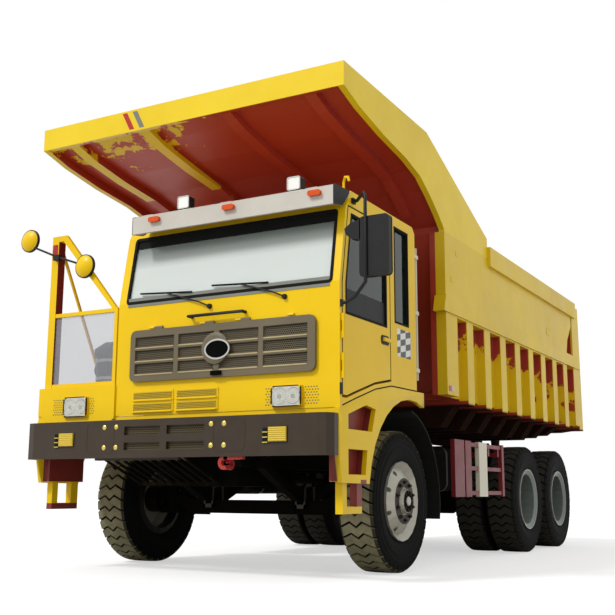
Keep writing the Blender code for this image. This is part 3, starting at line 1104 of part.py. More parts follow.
def wheels():
    """Two steered wheels and four twin wheels, each rim one solid with its hub."""
    seat = BEAD_RADIUS - GAP
    inside = seat - BARREL_WALL
    half = BEAD_WIDTH / 2
    lip = 0.020
    # The flange stands clear of the tyre's flank, which bulges from the bead to its widest
    bulge = (TYRE_WIDTH / 2 - half) * (FLANGE_RADIUS - BEAD_RADIUS) / (FLANK_RADIUS - BEAD_RADIUS)
    flange = half + bulge + FLANGE_CLEARANCE
    x = FRONT_WHEEL_X
    bore = (FRONT_SPINDLE_RADIUS + PIN_GAP) / math.cos(math.pi / LUGS)
    front = [
        (x + 0.250, 0.0), (x + 0.250, 0.110), (x + 0.208, 0.125), (x + 0.208, 0.225), (x + 0.135, inside),
        (x + 0.190, FLANGE_RADIUS), (x + flange + 0.004, FLANGE_RADIUS), (x + half + 0.004, seat),
        (x - half - 0.004, seat), (x - flange, FLANGE_RADIUS), (x - flange - lip, inside),
        (x + 0.095, inside), (x + 0.150, 0.150), (KINGPIN_X + 0.140, 0.150), (KINGPIN_X + 0.140, bore),
        (x + 0.130, bore), (x + 0.130, 0.0),
    ]
    outer = REAR_WHEEL_X + TWIN_SPACING / 2
    inner = REAR_WHEEL_X - TWIN_SPACING / 2
    bore = (REAR_SPINDLE_RADIUS + PIN_GAP) / math.cos(math.pi / LUGS)
    disc = REAR_WHEEL_X + 0.060
    rear = [
        (disc + 0.160, 0.0), (disc + 0.140, 0.140), (disc, 0.170), (disc + 0.030, inside),
        (outer + half + 0.010, inside), (outer + 0.187, FLANGE_RADIUS - 0.010), (outer + 0.187, FLANGE_RADIUS),
        (outer + flange, FLANGE_RADIUS), (outer + half + 0.004, seat), (inner - half - 0.004, seat),
        (inner - flange, FLANGE_RADIUS), (inner - flange - lip, inside), (disc - 0.040, inside),
        (disc - 0.040, 0.160), (0.960, 0.160), (0.960, bore), (disc + 0.030, bore), (disc + 0.030, 0.0),
    ]
    for side, name in ((1, "left"), (-1, "right")):
        pivot = (side * FRONT_WHEEL_X, 0.0, AXLE_Z)
        holes = []
        for i in range(8):
            angle = math.tau * (i + 0.5) / 8
            at = (0.285 * math.cos(angle), AXLE_Z + 0.285 * math.sin(angle))
            holes.append(rod((x + 0.020, *at), (x + 0.300, *at), 0.026, 6))
        forms = on_side(side, [turned(front, "x", (0.0, 0.0, AXLE_Z), LUGS)])
        round_smooth(piece(f"rim_front_{name}", SILVER, forms, ("cut", on_side(side, holes)), pivot=pivot))
        piece(f"tyre_front_{name}", RUBBER, on_side(side, [tyre(x)]), pivot=pivot)
        for place, y in (("middle", MIDDLE_AXLE_Y), ("rear", REAR_AXLE_Y)):
            pivot = (side * REAR_WHEEL_X, y, AXLE_Z)
            rim = on_side(side, [turned(rear, "x", (0.0, y, AXLE_Z), LUGS)])
            round_smooth(piece(f"rim_{place}_{name}", GREY, rim, pivot=pivot))
            for twin, at in (("outer", outer), ("inner", inner)):
                forms = on_side(side, [moved_tyre(tyre(at), y)])
                piece(f"tyre_{place}_{name}_{twin}", RUBBER, forms, pivot=pivot)


frame()
bumper()
cab_shell()
grille_panel()
doors()
glazing()
sun_visor()
cab_interior()
right_deck()
mirrors()
step_skirts()
powertrain()
front_axle()
knuckles()
drive_axles()
tanks()
side_guard()
mudguards()
rear_rails()
bed()
canopy()
hoist()
wheels()
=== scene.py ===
"""Looks of the mining dump truck: finishes, tyres, trim, floor, light and camera.

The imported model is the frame. Sizes here are metres from the middle of the front axle: X to the
truck's left, Y to its rear and Z up from the ground. A finished mesh is moved by the axle's place
in the frame, so that each piece's object sits at the origin.
"""

from __future__ import annotations

import json
import logging
import math
from collections.abc import Iterable, Sequence
from dataclasses import dataclass
from enum import Enum
from typing import Any, ClassVar

import bmesh
import bpy
from mathutils import Matrix, Vector

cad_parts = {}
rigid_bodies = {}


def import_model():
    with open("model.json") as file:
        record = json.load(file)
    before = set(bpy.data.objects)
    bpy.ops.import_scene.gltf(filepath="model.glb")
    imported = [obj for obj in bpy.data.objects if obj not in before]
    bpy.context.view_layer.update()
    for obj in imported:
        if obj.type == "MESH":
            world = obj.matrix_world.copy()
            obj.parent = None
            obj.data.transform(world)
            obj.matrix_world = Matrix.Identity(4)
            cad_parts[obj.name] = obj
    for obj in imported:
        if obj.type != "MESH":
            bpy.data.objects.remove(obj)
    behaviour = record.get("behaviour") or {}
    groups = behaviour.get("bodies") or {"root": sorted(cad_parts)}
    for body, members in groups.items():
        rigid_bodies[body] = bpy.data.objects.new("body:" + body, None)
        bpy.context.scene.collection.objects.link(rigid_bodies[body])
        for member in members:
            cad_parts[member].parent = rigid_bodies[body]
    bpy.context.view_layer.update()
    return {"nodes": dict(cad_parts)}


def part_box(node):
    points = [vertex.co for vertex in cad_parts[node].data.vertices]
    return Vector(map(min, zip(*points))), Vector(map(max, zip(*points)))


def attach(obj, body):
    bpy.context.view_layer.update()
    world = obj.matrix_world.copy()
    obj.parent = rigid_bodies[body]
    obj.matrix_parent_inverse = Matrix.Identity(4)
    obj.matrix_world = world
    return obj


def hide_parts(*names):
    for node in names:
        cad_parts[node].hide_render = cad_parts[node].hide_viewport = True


LOG = logging.getLogger("dump_truck")

Flat = tuple[float, float]
Point = tuple[float, float, float]
Span = tuple[float, float]
Face = tuple[int, ...]
Form = tuple[list[Point], list[Face]]
Coats = dict[str, list[Form]]
Tree = bpy.types.NodeTree
Node = bpy.types.Node
Mesh = bpy.types.Mesh
Material = bpy.types.Material

FAR = 99.0
WHITE = (1.0, 1.0, 1.0, 1.0)

MATH = "ShaderNodeMath"
RAMP = "ShaderNodeMapRange"
NOISE = "ShaderNodeTexNoise"
MIX = "ShaderNodeMix"


class Side(Enum):
    """The two sides of the truck, as the sign of X."""

    LEFT = 1
    RIGHT = -1

    @property
    def word(self) -> str:
        """The side's name in lower case."""
        return self.name.lower()


@dataclass(frozen=True)
class Zone:
    """A box in the frame, open along what it doesn't name; wide is the distance from the middle."""

    wide: Span | None = None
    x: Span | None = None
    y: Span | None = None
    z: Span | None = None


class Region(Enum):
    """Where a second coat shows on a piece that has two colours."""

    NONE = ()
    # Primer inside the bed, in the recess at its rear and on all that is under the floor
    BODY = (
        Zone(wide=(-1.0, 1.716), y=(-FAR, 4.238)),
        Zone(wide=(1.716, 1.80), y=(3.30, 3.84), z=(2.88, 3.50)),
        Zone(wide=(-1.0, 1.824), z=(0.0, 1.785)),
    )
    # Primer behind the canopy's lip and between its cheeks
    CANOPY = (Zone(wide=(-1.0, 1.765), y=(-4.120, FAR)),)
    # Primer in the step wells, on the left stirrup's rear leg and on the right one's tread
    SKIRT = (
        Zone(wide=(-1.0, 1.698), z=(0.862, 1.79)),
        Zone(x=(0.0, FAR), y=(-3.660, -3.540), z=(0.645, 0.880)),
        Zone(x=(-FAR, 0.0), z=(0.580, 0.646)),
    )
    # One plate of the side guard is cream
    GUARD = (Zone(y=(-0.46, -0.17)),)
    # What stands out below the bumper at its tow hook is red
    BUMPER = (Zone(x=(0.58, 0.90), z=(0.9, 1.074)),)
    # A wheel's inner side is near black
    WHEEL = (Zone(wide=(-1.0, 1.42)),)


# Colour and nodes


def linear(code: str) -> tuple[float, float, float, float]:
    """Turns an sRGB hex colour to linear light.

    Args:
        code: Six hex digits after a hash sign.

    Returns:
        Red, green, blue and an alpha of 1.
    """
    parts = [int(code[i : i + 2], 16) / 255 for i in (1, 3, 5)]
    turned = [c / 12.92 if c <= 0.04045 else ((c + 0.055) / 1.055) ** 2.4 for c in parts]
    return (turned[0], turned[1], turned[2], 1.0)


def set_inputs(tree: Tree, node: Node, values: dict[Any, Any]) -> None:
    """Sets or links a node's inputs.

    Args:
        tree: The node's tree.
        node: The node.
        values: Input name or number to a value, to a socket that it is linked from, or to a node
            that it is linked from by the first output in use.
    """
    for name, value in values.items():
        if isinstance(value, Node):
            value = next(output for output in value.outputs if output.enabled)
        if isinstance(value, bpy.types.NodeSocket):
            tree.links.new(value, node.inputs[name])
        else:
            node.inputs[name].default_value = value


def add_node(tree: Tree, kind: str, values: Any = (), **settings: Any) -> Node:
    """Adds one node.

    Args:
        tree: The tree that gets the node.
        kind: Blender's name of the node.
        values: Its inputs as set_inputs takes them, or in a row from the first one.
        **settings: Properties of the node.

    Returns:
        The new node.
    """
    node = tree.nodes.new(kind)
    for name, value in settings.items():
        setattr(node, name, value)
    set_inputs(tree, node, values if isinstance(values, dict) else dict(enumerate(values)))
    return node


def new_material(name: str) -> tuple[Material, Tree, Node, Any]:
    """Makes a node material with one Principled shader.

    Args:
        name: The finish's name.

    Returns:
        The material, its tree, its shader node and the socket of its Object coordinates.
    """
    made = bpy.data.materials.new(name)
    made.use_nodes = True
    tree = made.node_tree
    place = add_node(tree, "ShaderNodeTexCoord").outputs["Object"]
    return made, tree, tree.nodes["Principled BSDF"], place


def pattern(place: Any, size_mm: float, detail: float, roughness: float = 0.5) -> dict[str, Any]:
    """Gives a noise's inputs from the size of its marks in millimetres."""
    return {"Vector": place, "Scale": 1000.0 / size_mm, "Detail": detail, "Roughness": roughness}


def join(tree: Tree, operation: str, *values: Any) -> Any:
    """Joins values one after another by one operation, such as a product or the largest of them."""
    found = values[0]
    for value in values[1:]:
        found = add_node(tree, MATH, (found, value), operation=operation)
    return found


def band(tree: Tree, value: Any, low: float, high: float, soft: float = 0.002) -> Any:
    """Builds a mask that is 1 between two values, with soft edges of a given width."""
    rise = add_node(tree, RAMP, (value, low, low + soft, 0.0, 1.0))
    fall = add_node(tree, RAMP, (value, high, high - soft, 0.0, 1.0))
    return join(tree, "MULTIPLY", rise, fall)


def clouded(tree: Tree, noise: Any, edges: Span, shares: Span, coats: tuple[str, str]) -> Any:
    """Clouds one colour into another.

    Args:
        tree: The material's tree.
        noise: The pattern.
        edges: Its values between which the share changes.
        shares: The second colour's least and greatest share.
        coats: The two colours.

    Returns:
        The mixed colour's node.
    """
    share = add_node(tree, RAMP, (noise, *edges, *shares))
    return add_node(tree, MIX, {0: share, 6: linear(coats[0]), 7: linear(coats[1])}, data_type="RGBA")


def relief(tree: Tree, shader: Node, grain: Any, strength: float, depth: float) -> None:
    """Roughens a finish with a fine pattern of a given strength and depth."""
    bump = add_node(tree, "ShaderNodeBump", {"Height": grain, "Strength": strength, "Distance": depth})
    set_inputs(tree, shader, {"Normal": bump})


def seen_rays(tree: Tree) -> Any:
    """Builds a mask of what is seen straight, in a reflection or through glass."""
    path = add_node(tree, "ShaderNodeLightPath").outputs
    return join(tree, "MAXIMUM", *(path[f"Is {ray} Ray"] for ray in ("Camera", "Glossy", "Transmission")))


# Finishes


@dataclass(frozen=True)
class Enamel:
    """Sprayed two-pack enamel on steel sheet: glossy, with orange peel, dust and a second coat.

    It gives the eye soft highlights and paint that has faded in clouds. The peel is drawn about
    three times as coarse as the real 3 mm, so that it shows.
    """

    FADE_MM: ClassVar[float] = 1111.0
    BLOTCH_MM: ClassVar[float] = 200.0
    PEEL_MM: ClassVar[float] = 9.09
    PEEL: ClassVar[float] = 0.05
    DUST: ClassVar[str] = "#8C7B5A"
    # Road dust thins out between these heights
    DUST_Z: ClassVar[Span] = (2.2, 0.3)
    # The canopy deck's middle line in three runs, each as (slope, height over the truck's middle)
    DECK: ClassVar[tuple[Flat, ...]] = ((-0.289, 3.307), (-0.1757, 3.7365), (-0.5815, 2.779))
    # Its ribs on the right, whose lower edges the overspray runs along
    RIBS: ClassVar[tuple[Span, ...]] = ((-1.52, -1.38), (-0.58, -0.42))

    name: str
    colour: str
    faded: str
    under: str = "#8E3529"
    dust_share: float = 0.18
    roughness: float = 0.34
    metallic: float = 0.0
    region: Region = Region.NONE
    cover: float = 1.0
    sheen: float = 0.22
    # Painted shade below this height, in this colour
    caked_under: float = 0.0
    cake: str = "#0A0908"

    @staticmethod
    def missed(tree: Tree, wide: Any, y: Any, z: Any, noise: Any) -> Any:
        """Masks what the spray missed over each of the body's bays, more so to the rear."""
        bay = (band(tree, wide, 1.716, 1.818), band(tree, z, 1.80, 2.68), band(tree, y, -1.20, 4.20))
        up = add_node(tree, RAMP, (z, 2.25, 2.66, -0.10, 0.30))
        back = add_node(tree, RAMP, (y, -1.0, 4.2, -0.06, 0.17))
        level = join(tree, "ADD", up, back, noise)
        return join(tree, "MULTIPLY", *bay, add_node(tree, RAMP, (level, 0.565, 0.595, 0.0, 1.0)))

    def below_deck(self, tree: Tree, x: Any, y: Any, z: Any, noise: Any) -> Any:
        """Masks the canopy under its deck, but for the top coat's overspray at its front right."""
        runs = [add_node(tree, MATH, (y, *run), operation="MULTIPLY_ADD") for run in self.DECK]
        deck = join(tree, "MINIMUM", join(tree, "MAXIMUM", runs[0], runs[1]), runs[2])
        drop = join(tree, "SUBTRACT", deck, z)
        # Overspray fades to the rear and to the left, and runs further along the ribs' lower edges
        rear = add_node(tree, RAMP, (y, -4.15, -3.35, 0.21, -0.06))
        left = add_node(tree, RAMP, (x, -0.35, 0.35, 0.0, -0.22))
        ribs = join(tree, "MAXIMUM", *(band(tree, x, *rib) for rib in self.RIBS))
        edge = join(tree, "MULTIPLY", ribs, band(tree, drop, 0.05, FAR), band(tree, y, -FAR, -2.75), 0.34)
        level = join(tree, "ADD", noise, rear, left, edge)
        bare = add_node(tree, RAMP, (level, 0.60, 0.62, 1.0, 0.0))
        return join(tree, "MULTIPLY", band(tree, drop, 0.0, FAR), bare)

    def second_coat(self, tree: Tree, spot: Any, noise: Any) -> Any:
        """Builds the mask of the second coat.

        Args:
            tree: The material's tree.
            spot: The sockets of the place in the frame.
            noise: The blotch pattern.

        Returns:
            What is 1 where the second coat shows.
        """
        x, y, z = spot
        wide = add_node(tree, MATH, (x,), operation="ABSOLUTE")
        boxes = []
        for zone in self.region.value:
            spans = ((wide, zone.wide), (x, zone.x), (y, zone.y), (z, zone.z))
            boxes.append(join(tree, "MULTIPLY", *(band(tree, at, *span) for at, span in spans if span)))
        mask = join(tree, "MAXIMUM", *boxes)
        if self.region is Region.BODY:
            return join(tree, "MAXIMUM", mask, self.missed(tree, wide, y, z, noise))
        if self.region is Region.CANOPY:
            return join(tree, "MULTIPLY", mask, self.below_deck(tree, x, y, z, noise))
        return mask

    def build(self) -> Material:
        """Builds the material, from its own colour out to the dust on it."""
        made, tree, shader, place = new_material(self.name)
        spot = add_node(tree, "ShaderNodeSeparateXYZ", (place,)).outputs
        fade = add_node(tree, NOISE, pattern(place, self.FADE_MM, 5.0, 0.6))
        coat = clouded(tree, fade, (0.35, 0.68), (0.0, 1.0), (self.colour, self.faded))
        blotch = add_node(tree, NOISE, pattern(place, self.BLOTCH_MM, 8.0, 0.65))
        gloss = add_node(tree, RAMP, (blotch, 0.3, 0.7, self.roughness - 0.04, self.roughness + 0.10))
        sheen: Any = self.sheen
        mask: Any = 0.0
        if self.region is not Region.NONE:
            mask = self.second_coat(tree, spot, blotch)
            coat = add_node(tree, MIX, {0: mask, 6: coat, 7: linear(self.under)}, data_type="RGBA")
        if self.caked_under > 0.0:
            # Painted shade: below a height the paint turns dark and dull, as in the shade under the body and
            # the bumper
            shaded = band(tree, spot[2], 0.0, self.caked_under, 0.03)
            if self.region is Region.BUMPER:
                shaded = join(tree, "MULTIPLY", shaded, join(tree, "SUBTRACT", 1.0, mask))
            coat = add_node(tree, MIX, {0: shaded, 6: coat, 7: linear(self.cake)}, data_type="RGBA")
            gloss = join(tree, "MAXIMUM", gloss, shaded)
            sheen = add_node(tree, RAMP, (shaded, 0.0, 1.0, self.sheen, 0.02))
        # Road dust gathers on the low parts, in clouds
        low = add_node(tree, RAMP, (spot[2], *self.DUST_Z, 0.0, 1.0))
        cloud = add_node(tree, RAMP, (blotch, 0.40, 0.75, 0.25, 1.0))
        dusty = join(tree, "MULTIPLY", low, cloud, self.dust_share)
        coat = add_node(tree, MIX, {0: dusty, 6: coat, 7: linear(self.DUST)}, data_type="RGBA")
        values = {"Base Color": coat, "Roughness": gloss, "Metallic": self.metallic, "Alpha": self.cover}
        set_inputs(tree, shader, {**values, "Specular IOR Level": sheen})
        relief(tree, shader, add_node(tree, NOISE, pattern(place, self.PEEL_MM, 2.0)), self.PEEL, 0.002)
        return made


@dataclass(frozen=True)
class Rubber:
    """Moulded tyre rubber: matt black with fine grain, and dust where it runs on the ground."""

    CLOUD_MM: ClassVar[float] = 111.0
    GRAIN_MM: ClassVar[float] = 4.55
    SHEEN: ClassVar[float] = 0.08

    name: str
    colour: str
    dust: str
    dust_share: float
    roughness: float = 0.82
    worn: bool = False

    def build(self) -> Material:
        """Builds the material."""
        made, tree, shader, place = new_material(self.name)
        cloud = add_node(tree, NOISE, pattern(place, self.CLOUD_MM, 8.0, 0.7))
        shares = (self.dust_share * 0.5, self.dust_share)
        coat = clouded(tree, cloud, (0.30, 0.72), shares, (self.colour, self.dust))
        if self.worn:
            # Only what meets the road is worn pale, and the shoulders stay black
            facing = add_node(tree, "ShaderNodeNewGeometry").outputs["Normal"]
            across = add_node(tree, "ShaderNodeSeparateXYZ", (facing,))
            across = add_node(tree, MATH, (across,), operation="ABSOLUTE")
            flat = add_node(tree, RAMP, (across, 0.38, 0.62, 0.0, 1.0))
            coat = add_node(tree, MIX, {0: flat, 6: coat, 7: linear("#080807")}, data_type="RGBA")
        values = {"Base Color": coat, "Roughness": self.roughness, "Specular IOR Level": self.SHEEN}
        set_inputs(tree, shader, values)
        relief(tree, shader, add_node(tree, NOISE, pattern(place, self.GRAIN_MM, 3.0, 0.6)), 0.25, 0.002)
        return made


@dataclass(frozen=True)
class Metal:
    """Plated or turned steel: hard highlights drawn out by fine brushing, with light staining."""

    CLOUD_MM: ClassVar[float] = 71.4
    BRUSH_MM: ClassVar[float] = 16.67
    BRUSHED: ClassVar[Point] = (1.0, 1.0, 12.0)

    name: str
    colour: str
    stain: str
    roughness: float = 0.30
    stain_share: float = 0.35

    def build(self) -> Material:
        """Builds the material."""
        made, tree, shader, place = new_material(self.name)
        cloud = add_node(tree, NOISE, pattern(place, self.CLOUD_MM, 6.0, 0.6))
        coat = clouded(tree, cloud, (0.42, 0.75), (0.0, self.stain_share), (self.colour, self.stain))
        gloss = add_node(tree, RAMP, (cloud, 0.3, 0.7, self.roughness, self.roughness + 0.18))
        set_inputs(tree, shader, {"Base Color": coat, "Roughness": gloss, "Metallic": 1.0})
        drawn = add_node(tree, "ShaderNodeMapping", {"Vector": place, "Scale": self.BRUSHED}).outputs[0]
        relief(tree, shader, add_node(tree, NOISE, pattern(drawn, self.BRUSH_MM, 3.0)), 0.08, 0.001)
        return made


@dataclass(frozen=True)
class Plastic:
    """Moulded ABS or polypropylene: dull, with a leathery grain of about 2 mm drawn at 5 mm."""

    CLOUD_MM: ClassVar[float] = 166.7
    GRAIN_MM: ClassVar[float] = 5.0
    SHEEN: ClassVar[float] = 0.25

    name: str
    colour: str
    faded: str
    roughness: float = 0.55
    grain: float = 0.18

    def build(self) -> Material:
        """Builds the material."""
        made, tree, shader, place = new_material(self.name)
        cloud = add_node(tree, NOISE, pattern(place, self.CLOUD_MM, 6.0, 0.6))
        coat = clouded(tree, cloud, (0.4, 0.7), (0.0, 1.0), (self.colour, self.faded))
        values = {"Base Color": coat, "Roughness": self.roughness, "Specular IOR Level": self.SHEEN}
        set_inputs(tree, shader, values)
        cells = add_node(tree, "ShaderNodeTexVoronoi", {"Vector": place, "Scale": 1000.0 / self.GRAIN_MM})
        relief(tree, shader, cells, self.grain, 0.001)
        return made


@dataclass(frozen=True)
class Glass:
    """Tinted safety glass or a moulded lamp lens: clear enough to see in, with a glossy face."""

    HAZE_Z: ClassVar[Span] = (3.30, 2.95)
    HIDDEN: ClassVar[float] = 0.22

    name: str
    colour: str
    clear: float
    roughness: float = 0.04
    # Pale colour painted on the glass below a height: painted reflection of the sky, with dust
    haze: str = "#FFFFFF"
    haze_share: float = 0.0
    sheen: float = 0.5

    def build(self) -> Material:
        """Builds the material."""
        made, tree, shader, place = new_material(self.name)
        coat: Any = linear(self.colour)
        clear: Any = self.clear
        if self.haze_share > 0.0:
            # Pale colour painted on the lower glass is a painted reflection of the sky, with dust, and hides
            # the cab behind it
            height = add_node(tree, "ShaderNodeSeparateXYZ", (place,)).outputs[2]
            glare = add_node(tree, RAMP, (height, *self.HAZE_Z, 0.0, self.haze_share))
            coat = add_node(tree, MIX, {0: glare, 6: coat, 7: linear(self.haze)}, data_type="RGBA")
            clear = add_node(tree, RAMP, (glare, 0.0, 1.0, self.clear, self.HIDDEN))
        values = {"Base Color": coat, "Roughness": self.roughness, "Transmission Weight": clear}
        set_inputs(tree, shader, {**values, "Specular IOR Level": self.sheen, "IOR": 1.5})
        return made


@dataclass(frozen=True)
class Chequer:
    """A vinyl sticker of black and pale squares, laid on a panel that faces sideways."""

    SLOPE: ClassVar[float] = -0.22

    name: str
    cell: Flat
    dark: str = "#3A3A38"
    pale: str = "#D9DAD2"

    def build(self) -> Material:
        """Builds the material."""
        made, tree, shader, place = new_material(self.name)
        _, y, z = add_node(tree, "ShaderNodeSeparateXYZ", (place,)).outputs
        slip = add_node(tree, MATH, (y, self.SLOPE, z), operation="MULTIPLY_ADD")
        flat = add_node(tree, "ShaderNodeCombineXYZ", (y, slip, 0.5))
        scale = (1.0 / self.cell[0], 1.0 / self.cell[1], 1.0)
        cells = add_node(tree, "ShaderNodeMapping", {"Vector": flat, "Scale": scale})
        squares = add_node(tree, "ShaderNodeTexChecker", (cells, linear(self.dark), linear(self.pale), 1.0))
        set_inputs(tree, shader, {"Base Color": squares, "Roughness": 0.4})
        return made


class Finishes:
    """Every finish of the truck, each built the first time that it is asked for."""

    # The near-black inner sides of the wheels
    BLACKENED: ClassVar[dict[str, Any]] = {"under": "#0C0B0A", "region": Region.WHEEL, "dust_share": 0.08}
    CHART: ClassVar[tuple[Any, ...]] = (
        Enamel("yellow_enamel", "#EAC200", "#E4BA00", dust_share=0.05),
        Enamel("fine_mesh", "#A9ACB2", "#9EA1A8", dust_share=0.0, cover=0.35),
        # A darker copy of the yellow: painted shade on the louvres' recessed plates
        Enamel("vent_enamel", "#C2A322", "#B39620", dust_share=0.05),
        Enamel("slot_enamel", "#5E5338", "#524830", dust_share=0.0),
        Enamel("khaki_enamel", "#B3A47A", "#A0926A", dust_share=0.0),
        # The body's lower parts get painted shade
        Enamel(
            "body_enamel", "#E0C01A", "#D4B21C", under="#A03A2B", region=Region.BODY,
            caked_under=1.765, cake="#1E0D0A",
        ),
        Enamel("canopy_enamel", "#EACB20", "#E0BE1C", under="#AE3C2C", region=Region.CANOPY),
        Enamel("skirt_enamel", "#E6C000", "#DAB405", "#7C2D28", dust_share=0.05, region=Region.SKIRT),
        Enamel("maroon_enamel", "#7C222A", "#661C20", "#D8D3BE", dust_share=0.04, region=Region.GUARD),
        # The bumper's lower part gets painted shade, but not the red at its tow hook
        Enamel(
            "bumper_enamel", "#3A3026", "#342B22", under="#A8232B", region=Region.BUMPER,
            dust_share=0.08, caked_under=1.074,
        ),
        Enamel("grille_enamel", "#6E6450", "#625946", dust_share=0.1),
        Enamel("visor_gelcoat", "#CDC8BF", "#BBB5AA", roughness=0.28),
        Enamel("chassis_black", "#040404", "#070707", dust_share=0.02, roughness=0.8, sheen=0.04),
        Enamel("silver_wheel_enamel", "#B4B1A6", "#9C998D", metallic=0.5, **BLACKENED),
        Enamel("grey_wheel_enamel", "#7A827D", "#676F6A", metallic=0.3, roughness=0.42, **BLACKENED),
        Enamel("band_enamel", "#7F8179", "#74766F", roughness=0.3),
        Enamel("red_enamel", "#B8342B", "#A32C26"),
        Enamel("cream_enamel", "#D8D3BE", "#C9C3AD"),
        Enamel("lamp_white", "#F4F4F0", "#EDEDE8", dust_share=0.0),
        Rubber("tread_rubber", "#34322A", "#9A9474", 0.85, worn=True),
        # A darker copy of the tread rubber for the rear tyres: painted shade under the body
        Rubber("rear_tread_rubber", "#131311", "#45433A", 0.70, worn=True),
        Rubber("sidewall_rubber", "#040404", "#0D0D0C", 0.30, roughness=0.75),
        Rubber("seal_rubber", "#141414", "#2A2A28", 0.3),
        Metal("bright_steel", "#B9BAB4", "#8D8B83"),
        Metal("zinc_bolt", "#C9B560", "#8A7A3C", roughness=0.38),
        Metal("dark_steel", "#3B3834", "#5B4A3A", roughness=0.45),
        Metal("reflector_chrome", "#E6E6E2", "#C9CCC6", roughness=0.12, stain_share=0.1),
        Metal("mirror_silver", "#D5DADA", "#C2C8C8", roughness=0.04, stain_share=0.1),
        Plastic("black_plastic", "#08080A", "#111214"),
        Plastic("cab_trim", "#3A3B3C", "#2E2F30"),
        Plastic("seat_cloth", "#33363B", "#2A2C31", roughness=0.9, grain=0.4),
        # The windscreen carries a painted reflection of the sky on its lower part
        Glass("windscreen_glass", "#8FA09B", 0.88, haze="#E4EAE6", haze_share=0.95),
        Glass("side_glass", "#2E4440", 0.80, sheen=0.12),
        Glass("clear_lens", "#F2F2EC", 0.85, roughness=0.10),
        Glass("amber_lens", "#E3C21A", 0.20, roughness=0.15),
        Glass("orange_lens", "#E0561A", 0.15, roughness=0.15, sheen=0.2),
        Glass("red_lens", "#B3151A", 0.25, roughness=0.15),
        Chequer("chequer_vinyl", (0.125, 0.062)),
    )

    def __init__(self) -> None:
        """Starts with nothing built."""
        self.by_name = {finish.name: finish for finish in self.CHART}
        self.made: dict[str, Material] = {}

    def get(self, name: str) -> Material:
        """Gives the one material of a finish, by its name."""
        if name not in self.made:
            self.made[name] = self.by_name[name].build()
        return self.made[name]


# Forms


def placed(point: Flat, axis: str, along: float) -> Point:
    """Sets a point of an outline at a place along the axis that crosses it."""
    if axis == "x":
        return (along, point[0], point[1])
    if axis == "y":
        return (point[0], along, point[1])
    return (point[0], point[1], along)


def about(middle: float, reach: float) -> Span:
    """Gives the span that reaches as far to both sides of its middle."""
    return (middle - reach, middle + reach)


def narrowed(span: Span, by: float) -> Span:
    """Draws both ends of a span in, or out where the measure is negative."""
    return (span[0] + by, span[1] - by)


def loft(rings: Sequence[Sequence[Point]], closed: bool = False) -> Form:
    """Joins rings of points to a closed form.

    Args:
        rings: The rings in their order. Each has as many points, or one alone.
        closed: Whether the last ring joins the first. Otherwise the ends are capped.

    Returns:
        The form's points and faces.
    """
    numbers: list[list[int]] = []
    points: list[Point] = []
    for row in rings:
        numbers.append(list(range(len(points), len(points) + len(row))))
        points += row
    sides = max(len(row) for row in rings)
    faces: list[Face] = [] if closed else [tuple(n) for n in (numbers[0], numbers[-1]) if len(n) > 2]
    for k in range(len(rings) if closed else len(rings) - 1):
        a, b = numbers[k], numbers[(k + 1) % len(rings)]
        for i in range(sides):
            j = (i + 1) % sides
            corners = (a[i % len(a)], a[j % len(a)], b[j % len(b)], b[i % len(b)])
            faces.append(tuple(dict.fromkeys(corners)))
    return points, faces


def prism(outline: Sequence[Flat], axis: str, ends: Span) -> Form:
    """Draws an outline out between two places along the axis that crosses it."""
    return loft([[placed(point, axis, end) for point in outline] for end in ends])


def box(x: Span, y: Span, z: Span) -> Form:
    """Makes a box between pairs of places on the three axes."""
    return prism([(x[0], y[0]), (x[1], y[0]), (x[1], y[1]), (x[0], y[1])], "z", z)


def turned(profile: Sequence[Flat], axis: str, centre: Point, sides: int) -> Form:
    """Turns a profile round an axis.

    Args:
        profile: Points of (place along the axis, radius). It starts and ends on the axis, or else
            it is a closed loop.
        axis: "x", "y" or "z".
        centre: A point of the axis, added to every point.
        sides: Number of segments.

    Returns:
        The form's points and faces.
    """
    rings = []
    for along, radius in profile:
        angles = [math.tau * i / sides for i in range(sides if radius > 0.0 else 1)]
        spots = [placed((radius * math.cos(a), radius * math.sin(a)), axis, along) for a in angles]
        rings.append([(x + centre[0], y + centre[1], z + centre[2]) for x, y, z in spots])
    return loft(rings, closed=profile[0][1] > 0.0)


def drum(ends: Span, radii: Span, axis: str, centre: Point, sides: int) -> Form:
    """Makes a round bar or cone with a radius at each end."""
    profile = [(ends[0], 0.0), (ends[0], radii[0]), (ends[1], radii[1]), (ends[1], 0.0)]
    return turned(profile, axis, centre, sides)


def sleeve(ends: Span, radii: Span, axis: str, centre: Point, sides: int) -> Form:
    """Makes a round sleeve or washer between two radii."""
    profile = [(ends[0], radii[0]), (ends[1], radii[0]), (ends[1], radii[1]), (ends[0], radii[1])]
    return turned(profile, axis, centre, sides)


def tube(route: Sequence[Point], radius: float, sides: int = 12) -> Form:
    """Bends a round bar of a given radius and number of sides through the points of a route."""
    spots = [Vector(point) for point in route]
    side = (spots[1] - spots[0]).orthogonal().normalized()
    rings = []
    for i, spot in enumerate(spots):
        back = (spot - spots[i - 1]).normalized() if i else (spots[1] - spot).normalized()
        ahead = (spots[i + 1] - spot).normalized() if i + 1 < len(spots) else back
        middle = (ahead + back).normalized()
        side = (side - middle * side.dot(middle)).normalized()
        up = middle.cross(side)
        # A bend's ring is drawn out so that the bar keeps its thickness
        stretch = 1.0 / max(0.4, middle.dot(ahead))
        bend = ahead - middle * ahead.dot(middle)
        ring = []
        for k in range(sides):
            angle = math.tau * k / sides
            across = side * math.cos(angle) + up * math.sin(angle)
            if bend.length > 1e-6:
                bend.normalize()
                across += bend * across.dot(bend) * (stretch - 1.0)
            ring.append(tuple(spot + across * radius))
        rings.append(ring)
    return loft(rings)


